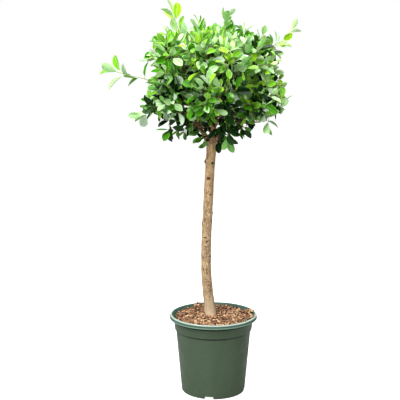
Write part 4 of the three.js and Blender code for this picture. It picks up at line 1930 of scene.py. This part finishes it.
@dataclass
class Foliage:
    """The leaves: laid out spray by spray on the crown's shoots, then joined for each part of the head.

    Each growth pair holds a share at a shoot's tip and what is added to it by the last leaf.
    """

    crown: Crown
    bark: Bark
    box: tuple[Vector, Vector]
    seed: int = 11
    blades: tuple[Blade, ...] = (
        Blade(width=0.55, fold=0.38, arch=0.10, weight=4.0),
        Blade(width=0.52, fold=0.60, arch=0.20, weight=3.0),
        Blade(width=0.60, fold=0.28, arch=0.28, wave=0.10, weight=3.0),
        Blade(width=0.50, fold=0.40, arch=-0.08, wave=0.06, weight=2.0),
        Blade(width=0.36, fold=0.80, arch=0.16, weight=0.6, young_weight=2.0),
        Blade(width=0.78, fold=0.22, arch=0.14, weight=0.5),
    )
    bud: Bud = Bud()
    underside_share: float = 0.22
    paler_from: float = 0.90
    paler_over: float = 0.15
    level_limit: float = 0.65
    edge_share: float = 0.24
    gap_growth: Pair = (0.45, 0.75)
    gap_play: Pair = (0.85, 1.15)
    opening_growth: Pair = (0.55, 0.65)
    opening_play: float = 9.0
    droop_growth: Pair = (0.5, 0.7)
    turn_play: float = 0.3
    light_pull: float = 0.45
    outward_pull: float = 0.1
    face_play: float = 0.5
    size_play: Pair = (0.86, 1.12)
    full_size_at: float = 2.2
    bud_lengths: Pair = (0.008, 0.012)
    overhang: float = 0.012
    stem_leaves: tuple[tuple[float, float, float, Tone], ...] = (
        (0.706, 286, 0.015, Tone.DEEP),
        (0.703, 306, 0.011, Tone.GREEN),
        (0.284, 350, 0.008, Tone.GREEN),
    )
    light: Vector = field(default_factory=lambda: Vector((-0.25, -0.35, 1.0)).normalized())
    finishes: dict[Tone, LeafFinish] = field(
        default_factory=lambda: {
            Tone.LIME: LeafFinish("lime", "8cc40a", "d2ea80", "bce09a"),
            Tone.FRESH: LeafFinish("fresh", "6cb020", "b8da7c", "a6d08e"),
            Tone.GREEN: LeafFinish("green", "387f02", "70a432", "72ac54"),
            # Nearly black: painted shade inside the crown over old leaves' dark green.
            Tone.DEEP: LeafFinish("deep", "032000", "163e04", "183e0a"),
            # Pale colours that paint the leaves' glossy sheen.
            Tone.SILVER: LeafFinish("silver", "9cca84", "d8ecc8", "c8e2c0"),
        }
    )

    def __post_init__(self) -> None:
        """Starts the random draws and the list of leaves for each part of the head."""
        self.dice = random.Random(self.seed)
        self.leaves: dict[str, list[Leaf]] = {"lower": [], "upper": [], "shoot": []}

    @property
    def bud_form(self) -> int:
        """The number of the bud among the forms."""
        return len(self.blades)

    def aged(self, tone: Tone, share: float) -> Tone:
        """The tone of a leaf at a share of the way back from the tip: young ones fresher, old ones deeper, a
        few the pale tone of painted sheen.
        """
        draw = self.dice.random()
        if share < 0.3 and draw < 0.5:
            return FRESHER.get(tone, tone)
        if share > 0.55 and draw < 0.45:
            return OLDER.get(tone, tone)
        # A few leaves take the pale tone that paints a glossy sheen.
        if draw > 0.88 and tone is not Tone.DEEP:
            return Tone.SILVER
        return tone

    @staticmethod
    def measured(line: Sequence[Vector]) -> Callable[[float], tuple[Vector, Vector]]:
        """A function that gives the place and direction at a distance back from a line's tip."""
        lengths = [0.0]
        for near, far in zip(line, line[1:]):
            lengths.append(lengths[-1] + (far - near).length)

        def at(back: float) -> tuple[Vector, Vector]:
            """The place and direction at one distance back from the tip."""
            reach = max(0.0, lengths[-1] - back)
            i = min(len(line) - 2, max(0, int(np.searchsorted(lengths, reach)) - 1))
            share = (reach - lengths[i]) / max(1e-6, lengths[i + 1] - lengths[i])
            return line[i].lerp(line[i + 1], share), (line[i + 1] - line[i]).normalized()

        return at

    def keeps_in(self, end: Vector) -> bool:
        """Whether a leaf's end stays in the CAD model's box, or no more than the overhang outside it."""
        over = self.overhang
        return all(least - over < at < most + over for at, least, most in zip(end, *self.box))

    def lay_shoot(self, shoot: Shoot) -> None:
        """Lays the leaves of one shoot, from its tip back, each a golden turn round from the last.

        Args:
            shoot: The shoot.
        """
        at = self.measured(shoot.line)
        habit = shoot.habit
        back = 0.0
        first_gap, more_gap = self.gap_growth
        first_opening, more_opening = self.opening_growth
        first_droop, more_droop = self.droop_growth
        for number in range(habit.leaves):
            share = number / max(1, habit.leaves - 1)
            place, axis = at(back)
            back += habit.spacing * (first_gap + more_gap * share) * self.dice.uniform(*self.gap_play)
            side = (ASLANT - axis * ASLANT.dot(axis)).normalized()
            across = axis.cross(side)
            play = self.dice.uniform(-self.turn_play, self.turn_play)
            turn = math.radians(habit.spin) + number * GOLDEN_TURN + play
            radial = side * math.cos(turn) + across * math.sin(turn)
            play = self.dice.uniform(-self.opening_play, self.opening_play)
            opening = math.radians(habit.opening * (first_opening + more_opening * share) + play)
            along = axis * math.cos(opening) + radial * math.sin(opening)
            along = (along - UP * habit.droop * (first_droop + more_droop * share)).normalized()
            face = axis * math.sin(opening) - radial * math.cos(opening)
            pull = self.light * self.dice.uniform(0.0, self.light_pull)
            turned = face + pull + shoot.outward * self.outward_pull
            turned += self.crown.scatter(self.face_play)
            turned = (turned - along * turned.dot(along)).normalized()
            look = self.dice.random()
            shown = self.underside_share * (1 + smooth_step((place.z - self.paler_from) / self.paler_over))
            if look < shown and turned.z < self.level_limit:
                turned = -turned
            elif shown <= look < shown + self.edge_share:
                turned = along.cross(turned)
            grown = habit.tip_size + (1 - habit.tip_size) * smooth_step(share * self.full_size_at)
            size = habit.leaf_length * grown * self.dice.uniform(*self.size_play)
            weights = [blade.weight_at(share) for blade in self.blades]
            form = self.dice.choices(range(len(self.blades)), weights=weights)[0]
            tone = self.aged(habit.tone, share)
            if self.keeps_in(place + along * size * (1 + self.blades[form].stalk)):
                self.leaves[shoot.region].append(Leaf(place, along, turned, size, tone, form))
        if not shoot.budded:
            return
        tip, axis = at(0.0)
        face = (UP - axis * UP.dot(axis) + Vector((0.01, 0.02, 0))).normalized()
        bud = Leaf(tip, axis, face, self.dice.uniform(*self.bud_lengths), Tone.LIME, self.bud_form)
        self.leaves[shoot.region].append(bud)

    def lay_stem_buds(self) -> None:
        """Lays the small leaves that break from the stem: a tuft near its top and a twiglet by its foot."""
        for height, bearing, size, tone in self.stem_leaves:
            place, outward = self.bark.on_stem(height, bearing)
            along = (outward * 0.7 + UP * 0.6).normalized()
            face = (outward - along * outward.dot(along)).normalized()
            self.leaves["lower"].append(Leaf(place, along, face, size, tone, 0))

    def tree(self) -> GeometryTree:
        """The tree that puts a leaf form on every point, turned and sized by what is stored there."""
        made = GeometryTree("lay_leaves")
        sheet = made.sheet
        axes = {
            "Primary Axis": sheet.take("along", "FLOAT_VECTOR"),
            "Secondary Axis": sheet.take("facing", "FLOAT_VECTOR"),
        }
        turned = sheet.add("FunctionNodeAxesToRotation", axes, primary_axis="Y", secondary_axis="Z")
        scale = sheet.reckoned("MULTIPLY", sheet.take("size", "FLOAT"), made.ask("Size", "Float"))
        points, number = made.given.outputs["Geometry"], sheet.take("form", "INT")
        laid = made.planted(points, number, turned.outputs["Rotation"], scale)
        first_of_tone = sheet.reckoned("MULTIPLY", sheet.take("tone", "INT"), float(LEAF_PARTS))
        kind = sheet.reckoned("ADD", first_of_tone, sheet.take("part", "INT"))
        made.dress(laid, len(Tone) * LEAF_PARTS, kind)
        return made

    def build(self) -> None:
        """Lays every leaf and joins them into one mesh for each part of the head."""
        for shoot in self.crown.shoots:
            self.lay_shoot(shoot)
        self.lay_stem_buds()
        shapes = [*self.blades, self.bud]
        made = [shape.form(f"leaf_form_{i}") for i, shape in enumerate(shapes)]
        materials = [material for tone in Tone for material in self.finishes[tone].materials()]
        values = {f"Material {i}": material for i, material in enumerate(materials)}
        values |= {"Forms": form_collection("leaf_forms", made), "Size": 1.0}
        replaced = {
            "lower": nodes_named("lower_mass"),
            "upper": [*nodes_named("upper_mass"), "cap_mass"],
            "shoot": nodes_named("shoot_"),
        }
        for region, leaves in self.leaves.items():
            piece = mesh_object(f"leaves_{region}", [leaf.place for leaf in leaves])
            store(piece.data, "along", "FLOAT_VECTOR", [leaf.along for leaf in leaves])
            store(piece.data, "facing", "FLOAT_VECTOR", [leaf.face for leaf in leaves])
            store(piece.data, "size", "FLOAT", [leaf.size for leaf in leaves])
            store(piece.data, "tone", "INT", [leaf.tone.value for leaf in leaves])
            store(piece.data, "form", "INT", [leaf.form for leaf in leaves])
            self.tree().run(piece, values)
            enrol(piece, replaced[region])
            LOG.info("%s: %d leaves and buds", piece.name, len(leaves))


# ---------------- studio


@dataclass(frozen=True)
class Lamp:
    """A square soft light: its place, what it is turned to, its side in metres and its watts."""

    name: str
    place: tuple[float, float, float]
    target: tuple[float, float, float]
    size: float
    power: float


@dataclass
class Studio:
    """A plain pale floor, soft white light and the camera."""

    distance: float = 3.0
    eye_height: float = 1.12
    aside: float = -0.0412
    pitch: float = 9.86
    lens: float = 90.45
    sky: float = 0.12
    floor_glow: float = 0.98
    floor_radius: float = 14.0
    floor_sides: int = 96
    floor_drop: float = 0.0003
    floor_thickness: float = 0.02
    lamps: tuple[Lamp, ...] = (
        Lamp("top", (-0.2, -0.2, 3.3), (-0.2, -0.2, 0.0), 3.0, 184.0),
        Lamp("key", (-1.5, -2.0, 2.9), (0.0, 0.0, 0.9), 1.6, 130.0),
        Lamp("fill", (2.2, -1.8, 1.6), (0.0, 0.0, 0.8), 1.6, 18.0),
    )

    def build_floor(self) -> None:
        """Builds the pale floor, a thin slab just under the pot."""
        levels = (-self.floor_drop - self.floor_thickness, -self.floor_drop)
        rings = turned_rings([(self.floor_radius, level) for level in levels], self.floor_sides)
        floor = mesh_object("floor", *closed_tube(rings))
        made, sheet = new_material("floor_white")
        seen = sheet.add("ShaderNodeLightPath").outputs["Is Camera Ray"]
        inputs = {
            "Base Color": (0.5, 0.5, 0.5, 1.0),
            "Roughness": 0.9,
            "Specular IOR Level": 0.1,
            "Emission Color": (1.0, 1.0, 1.0, 1.0),
            "Emission Strength": sheet.reckoned("MULTIPLY", seen, self.floor_glow),
        }
        sheet.principled(inputs)
        floor.data.materials.append(made)
        floor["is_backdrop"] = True

    def build_sky(self) -> None:
        """Even dim light from all round, which the camera sees as plain white."""
        world = bpy.data.worlds.new("studio")
        world.use_nodes = True
        world.node_tree.nodes.clear()
        sheet = NodeSheet(world.node_tree)
        skies = [{"Color": (1, 1, 1, 1), "Strength": strength} for strength in (self.sky, 1.0)]
        dim, plain = [sheet.add("ShaderNodeBackground", sky).outputs["Background"] for sky in skies]
        seen = sheet.add("ShaderNodeLightPath").outputs["Is Camera Ray"]
        mixed = sheet.add("ShaderNodeMixShader", {"Fac": seen, "Shader": dim, "Shader_001": plain})
        sheet.add("ShaderNodeOutputWorld", {"Surface": mixed.outputs["Shader"]})
        bpy.context.scene.world = world

    @staticmethod
    def build_lamp(lamp: Lamp) -> None:
        """Sets one light in its place and turns it to its target."""
        data = bpy.data.lights.new(lamp.name, "AREA")
        data.shape, data.size, data.energy = "SQUARE", lamp.size, lamp.power
        light = bpy.data.objects.new(lamp.name, data)
        light.location = lamp.place
        way = Vector(lamp.target) - Vector(lamp.place)
        light.rotation_euler = way.to_track_quat("-Z", "Y").to_euler()
        bpy.context.scene.collection.objects.link(light)

    def build_camera(self) -> None:
        """The camera in front of the tree, a little above its middle and tilted down."""
        data = bpy.data.cameras.new("camera")
        data.lens, data.sensor_width = self.lens, 36.0
        data.clip_start, data.clip_end = 0.05, 100.0
        camera = bpy.data.objects.new("camera", data)
        camera.location = (self.aside, -self.distance, self.eye_height)
        camera.rotation_euler = (math.radians(90 - self.pitch), 0, 0)
        bpy.context.scene.collection.objects.link(camera)
        bpy.context.scene.camera = camera

    def build(self) -> None:
        """Sets up the whole studio."""
        self.build_floor()
        self.build_sky()
        for lamp in self.lamps:
            self.build_lamp(lamp)
        self.build_camera()
        bpy.context.scene.view_settings.view_transform = "Standard"


def write_sizes() -> None:
    """Brings the view layer up to date."""
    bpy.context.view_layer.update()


def main() -> None:
    """Builds the studio and every piece of the tree in order."""
    logging.basicConfig(level=logging.INFO, format="%(message)s")
    cad_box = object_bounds()
    Studio().build()
    pot = Pot()
    pot.build()
    mulch = Mulch(pot)
    mulch.build_bed()
    mulch.build_chips()
    bark = Bark()
    bark.build_stem()
    bark.build_boughs()
    crown = Crown(bark)
    crown.grow()
    Twigs(crown).build()
    Foliage(crown, bark, cad_box).build()
    write_sizes()


if __name__ == "__main__":
    main()
